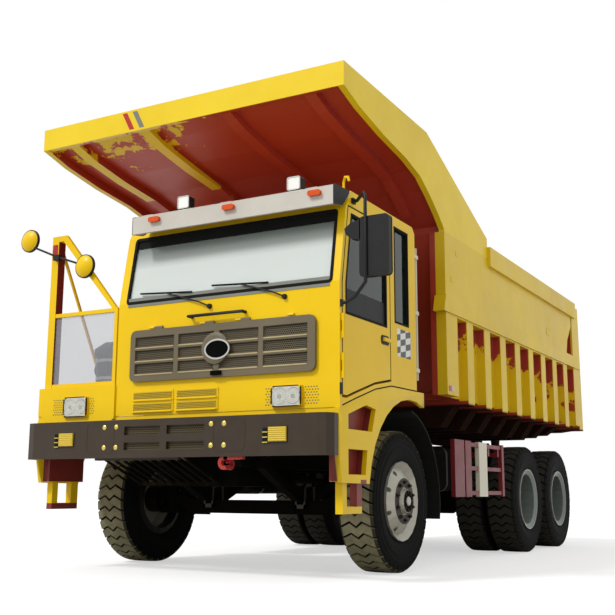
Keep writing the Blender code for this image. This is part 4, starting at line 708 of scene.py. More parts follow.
def arc(centre: Flat, radius: float, start: float, stop: float, steps: int) -> list[Flat]:
    """Gives points on an arc of an outline, with angles in degrees."""
    angles = [math.radians(start + (stop - start) * i / steps) for i in range(steps + 1)]
    return [(centre[0] + radius * math.cos(a), centre[1] + radius * math.sin(a)) for a in angles]


def dot(spot: Flat, radius: float, ends: Span, sides: int = 6, axis: str = "y") -> Form:
    """Makes a small disc with flat sides."""
    return prism(arc(spot, radius, 0.0, 360.0 - 360.0 / sides, sides - 1), axis, ends)


def round_box(x: Span, z: Span, radius: float, steps: int = 4) -> list[Flat]:
    """Gives a rectangle's outline with round corners."""
    inner_x, inner_z = narrowed(x, radius), narrowed(z, radius)
    outline: list[Flat] = []
    for quarter, (i, k) in enumerate(((1, 1), (0, 1), (0, 0), (1, 0))):
        start = 90.0 * quarter
        outline += arc((inner_x[i], inner_z[k]), radius, start, start + 90.0, steps)
    return outline


def moved(form: Form, by: Point) -> Form:
    """Moves a form."""
    return [(x + by[0], y + by[1], z + by[2]) for x, y, z in form[0]], form[1]


def on_side(side: Side, forms: Sequence[Form]) -> list[Form]:
    """Puts forms that are drawn on the left on a side of the truck."""
    return [([(side.value * x, y, z) for x, y, z in points], faces) for points, faces in forms]


def both_sides(forms: Sequence[Form]) -> list[Form]:
    """Puts forms that are drawn on the left on both sides of the truck."""
    return [*forms, *on_side(Side.RIGHT, forms)]


def gather(parts: Iterable[Coats]) -> Coats:
    """Joins what the parts of a piece have in each finish."""
    joined: Coats = {}
    for part in parts:
        for finish, forms in part.items():
            joined.setdefault(finish, []).extend(forms)
    return joined


def inset(outline: Sequence[Flat], by: float) -> list[Flat]:
    """Moves each edge of an outline inwards and joins them again at mitred corners."""
    ahead_of = [*outline[1:], outline[0]]
    area = sum(a[0] * b[1] - b[0] * a[1] for a, b in zip(outline, ahead_of))
    inward = by if area > 0 else -by
    found: list[Flat] = []
    for i, point in enumerate(outline):
        here = Vector(point)
        back = (here - Vector(outline[i - 1])).normalized()
        ahead = (Vector(ahead_of[i]) - here).normalized()
        lean = Vector((-back.y - ahead.y, back.x + ahead.x))
        reach = inward * 2.0 / max(0.3, lean.length_squared)
        found.append((here.x + lean.x * reach, here.y + lean.y * reach))
    return found


def strip(outline: Sequence[Flat], width: float, axis: str, ends: Span) -> Form:
    """Makes a strip that runs just inside an outline."""
    inner = inset(outline, width)
    rings = ((outline, ends[0]), (inner, ends[0]), (inner, ends[1]), (outline, ends[1]))
    return loft([[placed(point, axis, end) for point in line] for line, end in rings], closed=True)


# Making pieces


class Repeater:
    """Repeats a template with Geometry Nodes and gives back a plain mesh."""

    RING: ClassVar[dict[str, str]] = {"Count": "Int", "Start": "Float", "Finish": "Material"}
    GRID: ClassVar[dict[str, str]] = {
        "Columns": "Int", "Rows": "Int", "Column Step": "Vector", "Row Step": "Vector",
        "Stagger": "Float", "Finish": "Material",
    }

    def __init__(self, workshop: Workshop) -> None:
        """Builds the two trees; the workshop makes the templates' meshes."""
        self.workshop = workshop
        self.ring_tree = self.build_ring_tree()
        self.grid_tree = self.build_grid_tree()

    @staticmethod
    def new_tree(name: str, inputs: dict[str, str]) -> tuple[Tree, Any]:
        """Starts a tree with geometry in and out and some named inputs.

        Args:
            name: The tree's name.
            inputs: Input name to its socket's kind.

        Returns:
            The tree and the sockets of what it is given.
        """
        tree = bpy.data.node_groups.new(name, "GeometryNodeTree")
        for label, kind in {"Geometry": "Geometry", **inputs}.items():
            tree.interface.new_socket(name=label, in_out="INPUT", socket_type=f"NodeSocket{kind}")
        tree.interface.new_socket(name="Geometry", in_out="OUTPUT", socket_type="NodeSocketGeometry")
        return tree, add_node(tree, "NodeGroupInput").outputs

    @staticmethod
    def close_tree(tree: Tree, given: Any, places: dict[str, Any]) -> None:
        """Ends a tree: real copies of the template in one finish.

        Args:
            tree: The tree.
            given: The sockets of what it is given.
            places: The copies' points, and their rotation where they are turned.
        """
        values = {**places, "Instance": given["Geometry"]}
        copies = add_node(tree, "GeometryNodeInstanceOnPoints", values)
        real = add_node(tree, "GeometryNodeRealizeInstances", (copies,))
        values = {"Geometry": real, "Material": given["Finish"]}
        add_node(tree, "NodeGroupOutput", (add_node(tree, "GeometryNodeSetMaterial", values),))

    def build_ring_tree(self) -> Tree:
        """Builds the tree that turns copies round the X axis through the origin."""
        tree, given = self.new_tree("ring_array", self.RING)
        line = add_node(tree, "GeometryNodeMeshLine", {"Count": given["Count"], "Offset": (0.0, 0.0, 0.0)})
        step = join(tree, "DIVIDE", math.tau, given["Count"])
        index = add_node(tree, "GeometryNodeInputIndex")
        angle = add_node(tree, MATH, (index, step, given["Start"]), operation="MULTIPLY_ADD")
        turn = add_node(tree, "ShaderNodeCombineXYZ", (angle,))
        self.close_tree(tree, given, {"Points": line, "Rotation": turn})
        return tree

    def build_grid_tree(self) -> Tree:
        """Builds the tree that lays copies in rows, each second row shifted by part of a step."""
        tree, given = self.new_tree("grid_array", self.GRID)
        columns = given["Columns"]
        count = join(tree, "MULTIPLY", columns, given["Rows"])
        line = add_node(tree, "GeometryNodeMeshLine", {"Count": count, "Offset": (0.0, 0.0, 0.0)})
        index = add_node(tree, "GeometryNodeInputIndex")
        column = join(tree, "MODULO", index, columns)
        row = add_node(tree, MATH, (join(tree, "DIVIDE", index, columns),), operation="FLOOR")
        odd = join(tree, "MODULO", row, 2.0)
        along = add_node(tree, MATH, (odd, given["Stagger"], column), operation="MULTIPLY_ADD")
        across, up = (
            add_node(tree, "ShaderNodeVectorMath", {0: given[step], "Scale": number}, operation="SCALE")
            for step, number in (("Column Step", along), ("Row Step", row))
        )
        place = add_node(tree, "ShaderNodeVectorMath", (across, up))
        points = add_node(tree, "GeometryNodeSetPosition", {"Geometry": line, "Offset": place})
        self.close_tree(tree, given, {"Points": points})
        return tree

    def run(self, tree: Tree, forms: Sequence[Form], by: Point, values: dict[str, Any]) -> Mesh:
        """Runs a tree on a template.

        Args:
            tree: The tree.
            forms: The template's closed forms.
            by: How far the copies are moved afterwards.
            values: Input name to value.

        Returns:
            A plain mesh of the copies.
        """
        mesh = self.workshop.mesh(tree.name, {"": list(forms)}, shift=0.0)
        template = bpy.data.objects.new(tree.name, mesh)
        bpy.context.scene.collection.objects.link(template)
        change = template.modifiers.new("repeat", "NODES")
        change.node_group = tree
        for item in tree.interface.items_tree:
            if item.in_out == "INPUT" and item.name in values:
                change[item.identifier] = values[item.name]
        view = bpy.context.evaluated_depsgraph_get()
        copies = bpy.data.meshes.new_from_object(template.evaluated_get(view), depsgraph=view)
        template.modifiers.remove(change)
        bpy.data.objects.remove(template)
        bpy.data.meshes.remove(mesh)
        copies.transform(Matrix.Translation(by))
        return copies

    def round(self, forms: Sequence[Form], centre: Point, count: int, finish: str) -> Mesh:
        """Turns copies of forms that are drawn about the origin round an axle.

        Args:
            forms: The template.
            centre: The axle's place.
            count: Number of copies.
            finish: Name of the copies' finish.

        Returns:
            A plain mesh of the copies.
        """
        coat = self.workshop.finishes.get(finish)
        by = (centre[0], centre[1] + self.workshop.axle, centre[2])
        return self.run(self.ring_tree, forms, by, {"Count": count, "Start": 0.0, "Finish": coat})

    def rows(
        self, forms: Sequence[Form], counts: tuple[int, int], steps: tuple[Point, Point], finish: str,
        stagger: float = 0.0,
    ) -> Mesh:
        """Lays copies of forms in rows from where they are drawn.

        Args:
            forms: The template, drawn at the first place.
            counts: Number of columns and of rows.
            steps: Step from column to column and from row to row.
            finish: Name of the copies' finish.
            stagger: Part of a step by which each second row is shifted.

        Returns:
            A plain mesh of the copies.
        """
        values = (*counts, *steps, stagger, self.workshop.finishes.get(finish))
        by = (0.0, self.workshop.axle, 0.0)
        return self.run(self.grid_tree, forms, by, dict(zip(self.GRID, values)))


class Workshop:
    """Turns closed forms into the scene's pieces and sets them on their bodies."""

    def __init__(self, finishes: Finishes, axle: float, nodes: dict[str, bpy.types.Object]) -> None:
        """Starts the workshop.

        Args:
            finishes: The truck's finishes.
            axle: The front axle's place in the frame.
            nodes: The frame's nodes by name.
        """
        self.nodes = nodes
        self.finishes = finishes
        self.axle = axle
        self.repeat = Repeater(self)

    def mesh(self, name: str, coats: Coats, shift: float | None = None) -> Mesh:
        """Makes one mesh of closed forms.

        Args:
            name: The mesh's name.
            coats: Finish name to the forms that have it. An empty name has no finish.
            shift: How far the forms move along the truck; by default to their place in the frame.

        Returns:
            The mesh, its faces turned outwards.
        """
        along = self.axle if shift is None else shift
        built = bmesh.new()
        for number, forms in enumerate(coats.values()):
            for points, faces in forms:
                corners = [built.verts.new((x, y + along, z)) for x, y, z in points]
                for face in faces:
                    built.faces.new([corners[i] for i in face]).material_index = number
        bmesh.ops.recalc_face_normals(built, faces=built.faces)
        made = bpy.data.meshes.new(name)
        built.to_mesh(made)
        built.free()
        for finish in filter(None, coats):
            made.materials.append(self.finishes.get(finish))
        return made

    def piece(
        self, name: str, body: str, coats: Coats, copies: Sequence[Mesh] = (),
        instead_of: str = "", sharp: float = 35.0,
    ) -> None:
        """Makes one piece and sets it on its body.

        Args:
            name: The piece's name.
            body: The body that it moves with.
            coats: Finish name to closed forms.
            copies: Repeated meshes that join it; each is used up.
            instead_of: The CAD node that it is shown in place of, if any.
            sharp: Angle in degrees over which an edge stays sharp.
        """
        mesh = self.mesh(name, coats)
        if copies:
            built = bmesh.new()
            built.from_mesh(mesh)
            for other in copies:
                first = len(built.faces)
                built.from_mesh(other)
                built.faces.ensure_lookup_table()
                number = self.slot_number(mesh, next(m for m in other.materials if m is not None))
                for face in built.faces[first:]:
                    face.material_index = number
                bpy.data.meshes.remove(other)
            built.to_mesh(mesh)
            built.free()
        mesh.shade_smooth()
        mesh.set_sharp_from_angle(angle=math.radians(sharp))
        made = bpy.data.objects.new(name, mesh)
        bpy.context.scene.collection.objects.link(made)
        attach(made, body)
        if instead_of:
            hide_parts(instead_of)
        LOG.info("%s: %d faces on %s", name, len(mesh.polygons), body)

    def cut_copy(self, name: str, side: Side, reach: float, finish: str) -> Mesh:
        """Copies a CAD node's mesh and keeps what lies further out than a place.

        Args:
            name: The node's name; its own mesh stays as it is.
            side: The side that the node is on.
            reach: The place across the truck.
            finish: Name of the copy's finish.

        Returns:
            A closed mesh in the frame's place.
        """
        node = self.nodes[name]
        built = bmesh.new()
        built.from_mesh(node.data)
        built.transform(node.matrix_world)
        bmesh.ops.remove_doubles(built, verts=built.verts, dist=1e-5)
        plane = {"plane_co": (side.value * reach, 0.0, 0.0), "plane_no": (side.value, 0.0, 0.0)}
        every = [*built.verts, *built.edges, *built.faces]
        cut = bmesh.ops.bisect_plane(built, geom=every, clear_inner=True, **plane)
        edges = [item for item in cut["geom_cut"] if isinstance(item, bmesh.types.BMEdge)]
        bmesh.ops.triangle_fill(built, edges=edges, use_beauty=True)
        bmesh.ops.recalc_face_normals(built, faces=built.faces)
        made = bpy.data.meshes.new(name)
        built.to_mesh(made)
        built.free()
        made.materials.clear()
        made.materials.append(self.finishes.get(finish))
        return made

    @staticmethod
    def slot_number(mesh: Mesh, finish: Material) -> int:
        """Gives the number of a finish in a mesh, which gets it if it is new."""
        names = [m.name for m in mesh.materials]
        if finish.name not in names:
            mesh.materials.append(finish)
            return len(names)
        return names.index(finish.name)

    def bare_mesh(self, x: Span, z: Span, y: Span, pitch: float, radius: float, finish: str) -> Mesh:
        """Lays a staggered field of small dark discs: painted shade for a perforated plate's holes.

        Args:
            x: Ends of the field across the truck.
            z: Its lower and upper ends.
            y: The discs' front and rear.
            pitch: Step from disc to disc.
            radius: A disc's radius.
            finish: Name of the discs' finish.

        Returns:
            A plain mesh of the discs.
        """
        columns = max(1, int((x[1] - x[0] - 2 * radius - pitch / 2) / pitch) + 1)
        rise = pitch * math.sqrt(3.0) / 2.0
        rows = max(1, int((z[1] - z[0] - 2 * radius) / rise) + 1)
        first = ((sum(x) - (columns - 0.5) * pitch) / 2, (sum(z) - (rows - 1) * rise) / 2)
        steps = ((pitch, 0.0, 0.0), (0.0, 0.0, rise))
        return self.repeat.rows([dot(first, radius, y)], (columns, rows), steps, finish, stagger=0.5)


# Sub-assemblies


@dataclass
class Wheels:
    """Tyres with their real tread, and the nuts and hub ends of the wheels."""

    AXLES: ClassVar[dict[str, float]] = {"front": 0.0, "middle": 3.916, "rear": 5.414}

    radius: float = 0.685
    width: float = 0.375
    tread_width: float = 0.345
    groove: float = 0.020
    bead_radius: float = 0.350
    bead_width: float = 0.300
    segments: int = 76
    lugs: int = 38
    front_x: float = 1.467
    rear_x: float = 1.360
    twin_spacing: float = 0.420

    def casing(self, x: float) -> list[Form]:
        """Draws one tyre's tread band and both side walls about the origin, at a place across."""
        half, edge = self.width / 2, self.tread_width / 2
        base, bead = self.radius - self.groove, self.bead_radius
        # Half of the band and one wall, each as (place across the tyre, radius)
        shoulder = [(edge - 0.010, base - 0.060), (edge + 0.010, base - 0.032), (edge - 0.012, base - 0.004)]
        tread = [*shoulder, (0.060, base)]
        wall = [
            (self.bead_width / 2 - 0.012, bead + 0.001), (self.bead_width / 2, bead + 0.001),
            (self.bead_width / 2 + 0.008, bead + 0.030), (half - 0.016, bead + 0.052),
            (half - 0.010, 0.432), (half - 0.002, 0.470), (half, 0.505), (half, 0.512),
            (half + 0.003, 0.516), (half + 0.003, 0.526), (half - 0.001, 0.530), (half - 0.003, 0.570),
            (half, 0.574), (half, 0.584), (half - 0.004, 0.588), (edge + 0.008, base - 0.036),
            (edge - 0.020, base - 0.056), (half - 0.050, 0.560), (half - 0.050, 0.440),
        ]
        profiles = (tread + [(-a, r) for a, r in tread[::-1]], wall, [(-a, r) for a, r in wall])
        return [turned(profile, "x", (x, 0.0, 0.0), self.segments) for profile in profiles]

    def lug(self, x: float) -> Form:
        """Draws one zigzag lug, which runs over both shoulders, at the top of a tyre at x."""
        edge, top_r = self.tread_width / 2, self.radius
        base = top_r - self.groove - 0.004
        half_land, zig = math.tau / self.lugs * 0.39, math.tau / self.lugs * 0.30
        # Place across the tyre, radius of the top, radius of the root, zigzag share
        half = [
            (edge + 0.012, top_r - 0.070, top_r - 0.074, 0.9),
            (edge + 0.004, top_r - 0.020, base - 0.040, 0.6),
            (edge - 0.020, top_r - 0.003, base - 0.008, 0.3),
            (0.062, top_r, base, -1.0),
        ]
        stations = [*((-at, *rest) for at, *rest in half), (0.0, top_r, base, 0.4), *half[::-1]]
        rings = []
        for along, top, root, share in stations:
            corners = ((-1.06, root), (-1.0, top), (1.0, top), (1.06, root))
            turns = [(math.pi / 2 + half_land * turn + zig * share, r) for turn, r in corners]
            rings.append([(x + along, r * math.cos(angle), r * math.sin(angle)) for angle, r in turns])
        return loft(rings)

    def tyre(self, shop: Workshop, place: str, side: Side, x: float, twin: str = "") -> None:
        """Builds one tyre in place of its CAD node.

        Args:
            shop: The workshop.
            place: Its axle.
            side: Its side.
            x: Its middle across the truck, on the left.
            twin: Which of two it is, after an underscore.
        """
        at = side.value * x
        centre = (0.0, self.AXLES[place], self.radius)
        # The rear tyres' lugs get the darker copy, painted shade under the body
        finish = "tread_rubber" if place == "front" else "rear_tread_rubber"
        lugs = shop.repeat.round([self.lug(at)], centre, self.lugs, finish)
        coats = {"sidewall_rubber": [moved(form, centre) for form in self.casing(at)]}
        node, body = f"tyre_{place}_{side.word}{twin}", f"wheel_{place}_{side.word}"
        shop.piece(f"{node}_casing", body, coats, [lugs], instead_of=node, sharp=32.0)

    @staticmethod
    def nut(x: float, radius: float, size: float, reach: float) -> list[Form]:
        """Draws a wheel nut with its washer and stud end about the origin, on the left.

        Args:
            x: Its face.
            radius: Its distance from the axle.
            size: The nut's radius.
            reach: Its height.

        Returns:
            The forms.
        """
        spot = (0.0, radius)
        return [
            dot(spot, size * 1.25, (x - 0.002, x + 0.004), 12, "x"),
            dot(spot, size, (x, x + reach), 6, "x"),
            dot(spot, size * 0.55, (x, x + reach * 1.45), 8, "x"),
        ]

    def trim(
        self, shop: Workshop, place: str, side: Side,
        rings: Sequence[tuple[int, tuple[float, ...]]], coats: Coats,
    ) -> None:
        """Sets rings of nuts and other forms, drawn on the left, on a wheel.

        Args:
            shop: The workshop.
            place: The wheel's axle.
            side: Its side.
            rings: Number of nuts in each ring and each nut's measures.
            coats: The other forms.
        """
        centre = (0.0, self.AXLES[place], self.radius)
        nuts = [
            shop.repeat.round(on_side(side, self.nut(*sizes)), centre, count, "dark_steel")
            for count, sizes in rings
        ]
        forms = {finish: on_side(side, drawn) for finish, drawn in coats.items()}
        shop.piece(f"hub_{place}_{side.word}", f"wheel_{place}_{side.word}", forms, nuts)

    def front_trim(self, shop: Workshop, side: Side) -> None:
        """Adds nuts, the hub's cap and its bolts to a front wheel."""
        centre = (0.0, 0.0, self.radius)
        face, cap = self.front_x + 0.208, self.front_x + 0.250
        coats = {
            "dark_steel": [sleeve((face, face + 0.004), (0.132, 0.222), "x", centre, 48)],
            "chassis_black": [drum((cap - 0.036, cap + 0.003), (0.112, 0.106), "x", centre, 36)],
            "silver_wheel_enamel": [drum((cap, cap + 0.012), (0.048, 0.040), "x", centre, 24)],
        }
        rings = ((10, (face, 0.183, 0.017, 0.024)), (8, (cap, 0.088, 0.008, 0.006)))
        self.trim(shop, "front", side, rings, coats)

    def rear_trim(self, shop: Workshop, side: Side, place: str) -> None:
        """Adds nuts, the hub's cap, hand holes and the rim's lip to a twin wheel."""
        y = self.AXLES[place]
        centre = (0.0, y, self.radius)
        disc, lip = self.rear_x + 0.060, self.rear_x + self.twin_spacing / 2 + 0.187
        holes = (disc + 0.020, disc + 0.0275)
        coats = {
            "silver_wheel_enamel": [sleeve((lip - 0.012, lip + 0.002), (0.378, 0.386), "x", centre, 60)],
            "seal_rubber": [dot((y, z), 0.030, holes, 10, "x") for z in about(self.radius, 0.285)[::-1]],
            "dark_steel": [drum((disc + 0.158, disc + 0.170), (0.030, 0.026), "x", centre, 18)],
        }
        rings = ((10, (disc + 0.012, 0.215, 0.018, 0.026)), (10, (disc + 0.150, 0.105, 0.009, 0.010)))
        self.trim(shop, place, side, rings, coats)

    def build(self, shop: Workshop) -> None:
        """Builds every tyre and every wheel's trim."""
        for side in Side:
            self.tyre(shop, "front", side, self.front_x)
            self.front_trim(shop, side)
            for place in ("middle", "rear"):
                self.tyre(shop, place, side, self.rear_x + 0.5 * self.twin_spacing, "_outer")
                self.tyre(shop, place, side, self.rear_x - 0.5 * self.twin_spacing, "_inner")
                self.rear_trim(shop, side, place)


@dataclass
class Bumper:
    """What the bumper carries: bolts, lamps with their guards, and mesh behind its slots."""

    front_y: float = -1.689
    slots_x: tuple[Span, ...] = ((-0.457, -0.035), (0.041, 0.465))
    slots_z: tuple[Span, ...] = ((1.150, 1.220), (1.290, 1.370))
    bolts_x: tuple[float, ...] = (-0.700, -0.555, 0.540, 0.680)
    bolts_z: tuple[float, ...] = (1.176, 1.368)
    lamps_x: tuple[float, ...] = (1.080, -1.336)
    lamp_width: float = 0.256
    lamp_z: Span = (1.190, 1.330)
    lens_ribs: int = 7
    guard_slots: int = 3
    hook_at: Flat = (0.672, 1.022)
    bracket: tuple[Span, Span] = ((0.560, 0.905), (1.120, 1.420))
    rods: int = 10
    rods_x: Span = (-0.800, 0.150)

    def bolt(self, x: float, z: float) -> Form:
        """Draws one domed bolt head."""
        y = self.front_y
        dome = ((0.004, 0.0), (0.004, 0.024), (-0.003, 0.024), (-0.010, 0.015), (-0.012, 0.0))
        return turned([(y + at, radius) for at, radius in dome], "y", (x, 0.0, z), 14)

    def lamp(self, x: float) -> Coats:
        """Draws one amber lamp from x on, ribbed across, with a slotted black guard beside it."""
        z, y = self.lamp_z, self.front_y - 0.006
        lens_x, grid_x = (x + 0.070, x + self.lamp_width - 0.006), (x + 0.010, x + 0.062)
        lens = [box(lens_x, (y - 0.012, y + 0.002), narrowed(z, 0.008))]
        pitch = (z[1] - z[0] - 0.016) / self.lens_ribs
        for i in range(self.lens_ribs):
            low = z[0] + 0.008 + pitch * i
            rib = [(y - 0.012, low), (y - 0.017, low + pitch / 2), (y - 0.012, low + pitch)]
            lens.append(prism(rib, "x", narrowed(lens_x, 0.004)))
        height = (z[1] - z[0]) / self.guard_slots - 0.016
        lows = [z[0] + 0.008 + (z[1] - z[0] - 0.008) / self.guard_slots * i for i in range(self.guard_slots)]
        return {
            "amber_lens": lens,
            "seal_rubber": [box(grid_x, (y - 0.004, y + 0.002), (low, low + height)) for low in lows],
            "zinc_bolt": [box(grid_x, (y - 0.010, y), (low - 0.010, low - 0.002)) for low in lows],
        }

    def build(self, shop: Workshop) -> None:
        """Builds the bumper's trim."""
        bolts = [self.bolt(x, z) for x in self.bolts_x for z in self.bolts_z]
        coats = gather([{"zinc_bolt": bolts}, *(self.lamp(x) for x in self.lamps_x)])
        shop.piece("bumper_lamps", "truck", coats)
        y = self.front_y + 0.034
        slots = [(x, z) for x in self.slots_x for z in self.slots_z]
        plates = [box(narrowed(x, -0.02), (y, y + 0.003), narrowed(z, -0.02)) for x, z in slots]
        # The dark discs on the plates are painted shade for the mesh's holes
        fields = [shop.bare_mesh(x, z, about(y, 0.001), 0.022, 0.0075, "seal_rubber") for x, z in slots]
        shop.piece("bumper_mesh", "truck", {"slot_enamel": plates}, fields)
        hook = [(0.870, 1.052), (0.870, 1.100), *arc(self.hook_at, 0.062, 100.0, 300.0, 10)]
        hook += arc(self.hook_at, 0.028, 300.0, 60.0, 8)
        coats = {"red_enamel": [prism(hook, "y", (self.front_y + 0.015, self.front_y + 0.060))]}
        shop.piece("tow_hook", "truck", coats)
        # Faint edges of the brackets behind, pressed through the sheet, and rods below the bumper
        y = self.front_y
        edge = strip(round_box(*self.bracket, 0.060, 5), 0.012, "y", about(y, 0.002))
        other = moved(on_side(Side.RIGHT, [edge])[0], (-0.02, 0.0, 0.0))
        pitch = (self.rods_x[1] - self.rods_x[0]) / (self.rods - 1)
        places = [self.rods_x[0] + pitch * i for i in range(self.rods)]
        rods = [box((x - 0.030, x + 0.026), (y + 0.010, y + 0.016), (1.090, 1.104)) for x in places]
        coats = {"bumper_enamel": [edge, other], "silver_wheel_enamel": rods}
        shop.piece("bumper_edges", "truck", coats)


@dataclass
class Cab:
    """The cab's front face and lower seam, and the trim on its front and sides."""

    FRONT_Y: ClassVar[float] = -1.500
    BROW_Z: ClassVar[float] = 2.600
    SCREEN_TOP_Y: ClassVar[float] = -1.380
    SCREEN_TOP_Z: ClassVar[float] = 3.300
    # Each wiper's pivot, elbow and the two ends of its blade, as (x, z)
    WIPERS: ClassVar[tuple[tuple[Flat, ...], ...]] = (
        ((1.186, 2.505), (1.060, 2.560), (0.377, 2.690), (1.007, 2.655)),
        ((0.364, 2.490), (0.250, 2.540), (-0.480, 2.690), (0.150, 2.650)),
    )
    # The grab handle's corners, as (x, y), and its height
    GRAB: ClassVar[tuple[Flat, ...]] = ((0.164, -1.486), (0.164, -1.560), (0.765, -1.560), (0.765, -1.486))
    GRAB_Z: ClassVar[float] = 2.400

    left_x: float = 1.743
    right_x: float = -0.741
    screen_x: Span = (-0.640, 1.660)
    screen_z: Span = (2.600, 3.290)
    visor_x: Span = (-0.500, 1.740)
    visor_y: float = -1.620
    marker_x: tuple[float, ...] = (-0.231, 0.641, 1.561)
    work_x: tuple[float, ...] = (-0.040, 1.225)
    work_z: Span = (3.525, 3.655)
    door_y: Span = (-1.455, -0.430)
    right_door_y: Span = (-0.930, -0.100)
    right_door_low: float = 1.870
    door_top: float = 3.330
    door_lap: float = 0.060
    pane_z: Span = (2.320, 3.270)
    left_pane_y: Span = (-1.390, -0.510)
    right_pane_y: Span = (-0.860, -0.170)
    # Each as its ends along the cab and in height
    rear_pane: tuple[Span, Span] = ((-0.330, 0.020), (2.400, 3.380))
    pane_panel: tuple[Span, Span] = ((-1.372, -0.528), (2.338, 2.560))
    handle: tuple[Span, Span] = ((-0.650, -0.470), (2.150, 2.240))
    sticker: tuple[Span, Span] = ((-0.274, 0.062), (2.080, 2.356))
    latch: tuple[Span, Span] = ((-1.500, -1.470), (1.600, 1.700))
    seam: tuple[Flat, ...] = (
        (-1.513, 1.485), (-1.194, 1.583), (-0.784, 1.701), (-0.425, 1.764), (0.384, 1.771),
    )

    @classmethod
    def face_y(cls, z: float) -> float:
        """Gives the cab's front face at a height: upright below the brow, then leaning back."""
        lean = (cls.SCREEN_TOP_Y - cls.FRONT_Y) / (cls.SCREEN_TOP_Z - cls.BROW_Z)
        return cls.FRONT_Y + lean * max(0.0, z - cls.BROW_Z)

    def leaned(self, form: Form) -> Form:
        """Lays a form that is drawn from y = 0 on the cab's leaning front face."""
        return [(x, y + self.face_y(z), z) for x, y, z in form[0]], form[1]

    def foot(self, y: float) -> float:
        """Gives the height of the cab's lower seam at a place along it."""
        for (y0, z0), (y1, z1) in zip(self.seam, self.seam[1:]):
            if y0 <= y <= y1:
                return z0 + (z1 - z0) * (y - y0) / (y1 - y0)
        return self.seam[-1][1]

    def door_edge(self) -> list[Flat]:
        """Gives the left door's outline."""
        low, high = self.door_y
        flat = low + 0.090
        edge = [(low, self.foot(flat)), (flat, self.foot(flat))]
        edge += [(y, z) for y, z in self.seam if flat < y < high]
        outline = [(y, z + self.door_lap) for y, z in (*edge, (high, self.foot(high)))]
        lean = self.face_y(self.SCREEN_TOP_Z) - self.FRONT_Y
        return [*outline, (high, self.door_top), (low + lean, self.door_top), (low, self.BROW_Z)]

    def window_edge(self, y: Span, z: Span, leans: bool = False) -> list[Flat]:
        """Gives a side window's outline, its front leaning back with the windscreen or upright."""
        outline = [(y[0], z[0]), (y[1], z[0]), (y[1], z[1])]
        if not leans:
            return [*outline, (y[0], z[1])]
        return [*outline, (y[0] + self.face_y(z[1]) - self.FRONT_Y, z[1]), (y[0], self.BROW_Z)]

    def screen(self, shop: Workshop) -> None:
        """Adds the windscreen's seal, its printed bands, the wipers and the grab handle's sleeve."""
        x, z = self.screen_x, self.screen_z
        edge = round_box(narrowed(x, -0.012), (z[0] - 0.012, z[1] + 0.006), 0.040)
        seal = self.leaned(strip(edge, 0.030, "y", (-0.004, 0.017)))
        printed = self.leaned(box(narrowed(x, 0.014), (-0.005, 0.002), (z[0] - 0.040, z[0] + 0.050)))
        top = self.leaned(box(narrowed(x, 0.016), (0.014, 0.017), (z[1] - 0.110, z[1] - 0.024)))
        coats = {"seal_rubber": [seal, top], "band_enamel": [printed]}
        shop.piece("screen_seal", "truck", coats)
        arms, blades = [], []
        for pivot, elbow, start, stop in self.WIPERS:
            middle = ((start[0] + stop[0]) / 2, (start[1] + stop[1]) / 2)
            route = [(x, self.face_y(z) - 0.024, z) for x, z in (pivot, elbow, middle)]
            arms.append(tube([(pivot[0], self.FRONT_Y + 0.002, pivot[1]), *route], 0.0075, 8))
            ends = (self.FRONT_Y - 0.030, self.FRONT_Y + 0.001)
            arms.append(drum(ends, (0.020, 0.026), "y", (pivot[0], 0.0, pivot[1]), 14))
            blades.append(tube([(x, self.face_y(z) - 0.010, z) for x, z in (start, stop)], 0.009, 6))
        arms.append(tube([(x, y, self.GRAB_Z) for x, y in self.GRAB], 0.0155, 10))
        shop.piece("wipers", "truck", {"black_plastic": arms, "seal_rubber": blades})

    def visor(self, shop: Workshop) -> None:
        """Adds the visor's end caps, marker lenses and work lamps."""
        front, (low, high) = self.visor_y, self.visor_x
        cheek = [
            (front - 0.002, 3.266), (front + 0.170, 3.296), (-1.330, 3.418), (-1.300, 3.470),
            (front + 0.040, 3.463), (front - 0.002, 3.443),
        ]
        sides = ((low - 0.014, low - 0.0095), (high + 0.0025, high + 0.005))
        black = [prism(cheek, "x", ends) for ends in sides]
        depth = (front - 0.034, front - 0.001)
        lenses = [prism(round_box(about(x, 0.064), (3.362, 3.412), 0.018), "y", depth) for x in self.marker_x]
        glass, rims = [], []
        for x in self.work_x:
            outline = round_box(about(x, 0.070), self.work_z, 0.020)
            black.append(prism(outline, "y", (-1.424, -1.334)))
            black.append(box(about(x, 0.018), (-1.394, -1.356), (3.461, 3.530)))
            rims.append(strip(outline, 0.010, "y", (-1.432, -1.420)))
            face = round_box(about(x, 0.060), narrowed(self.work_z, 0.010), 0.016)
            glass.append(prism(face, "y", (-1.428, -1.422)))
        black.append(box((0.300, 0.350), (-1.400, -1.350), (3.466, 3.540)))
        coats = {"black_plastic": black, "orange_lens": lenses, "lamp_white": glass, "bright_steel": rims}
        shop.piece("visor_lamps", "truck", coats)

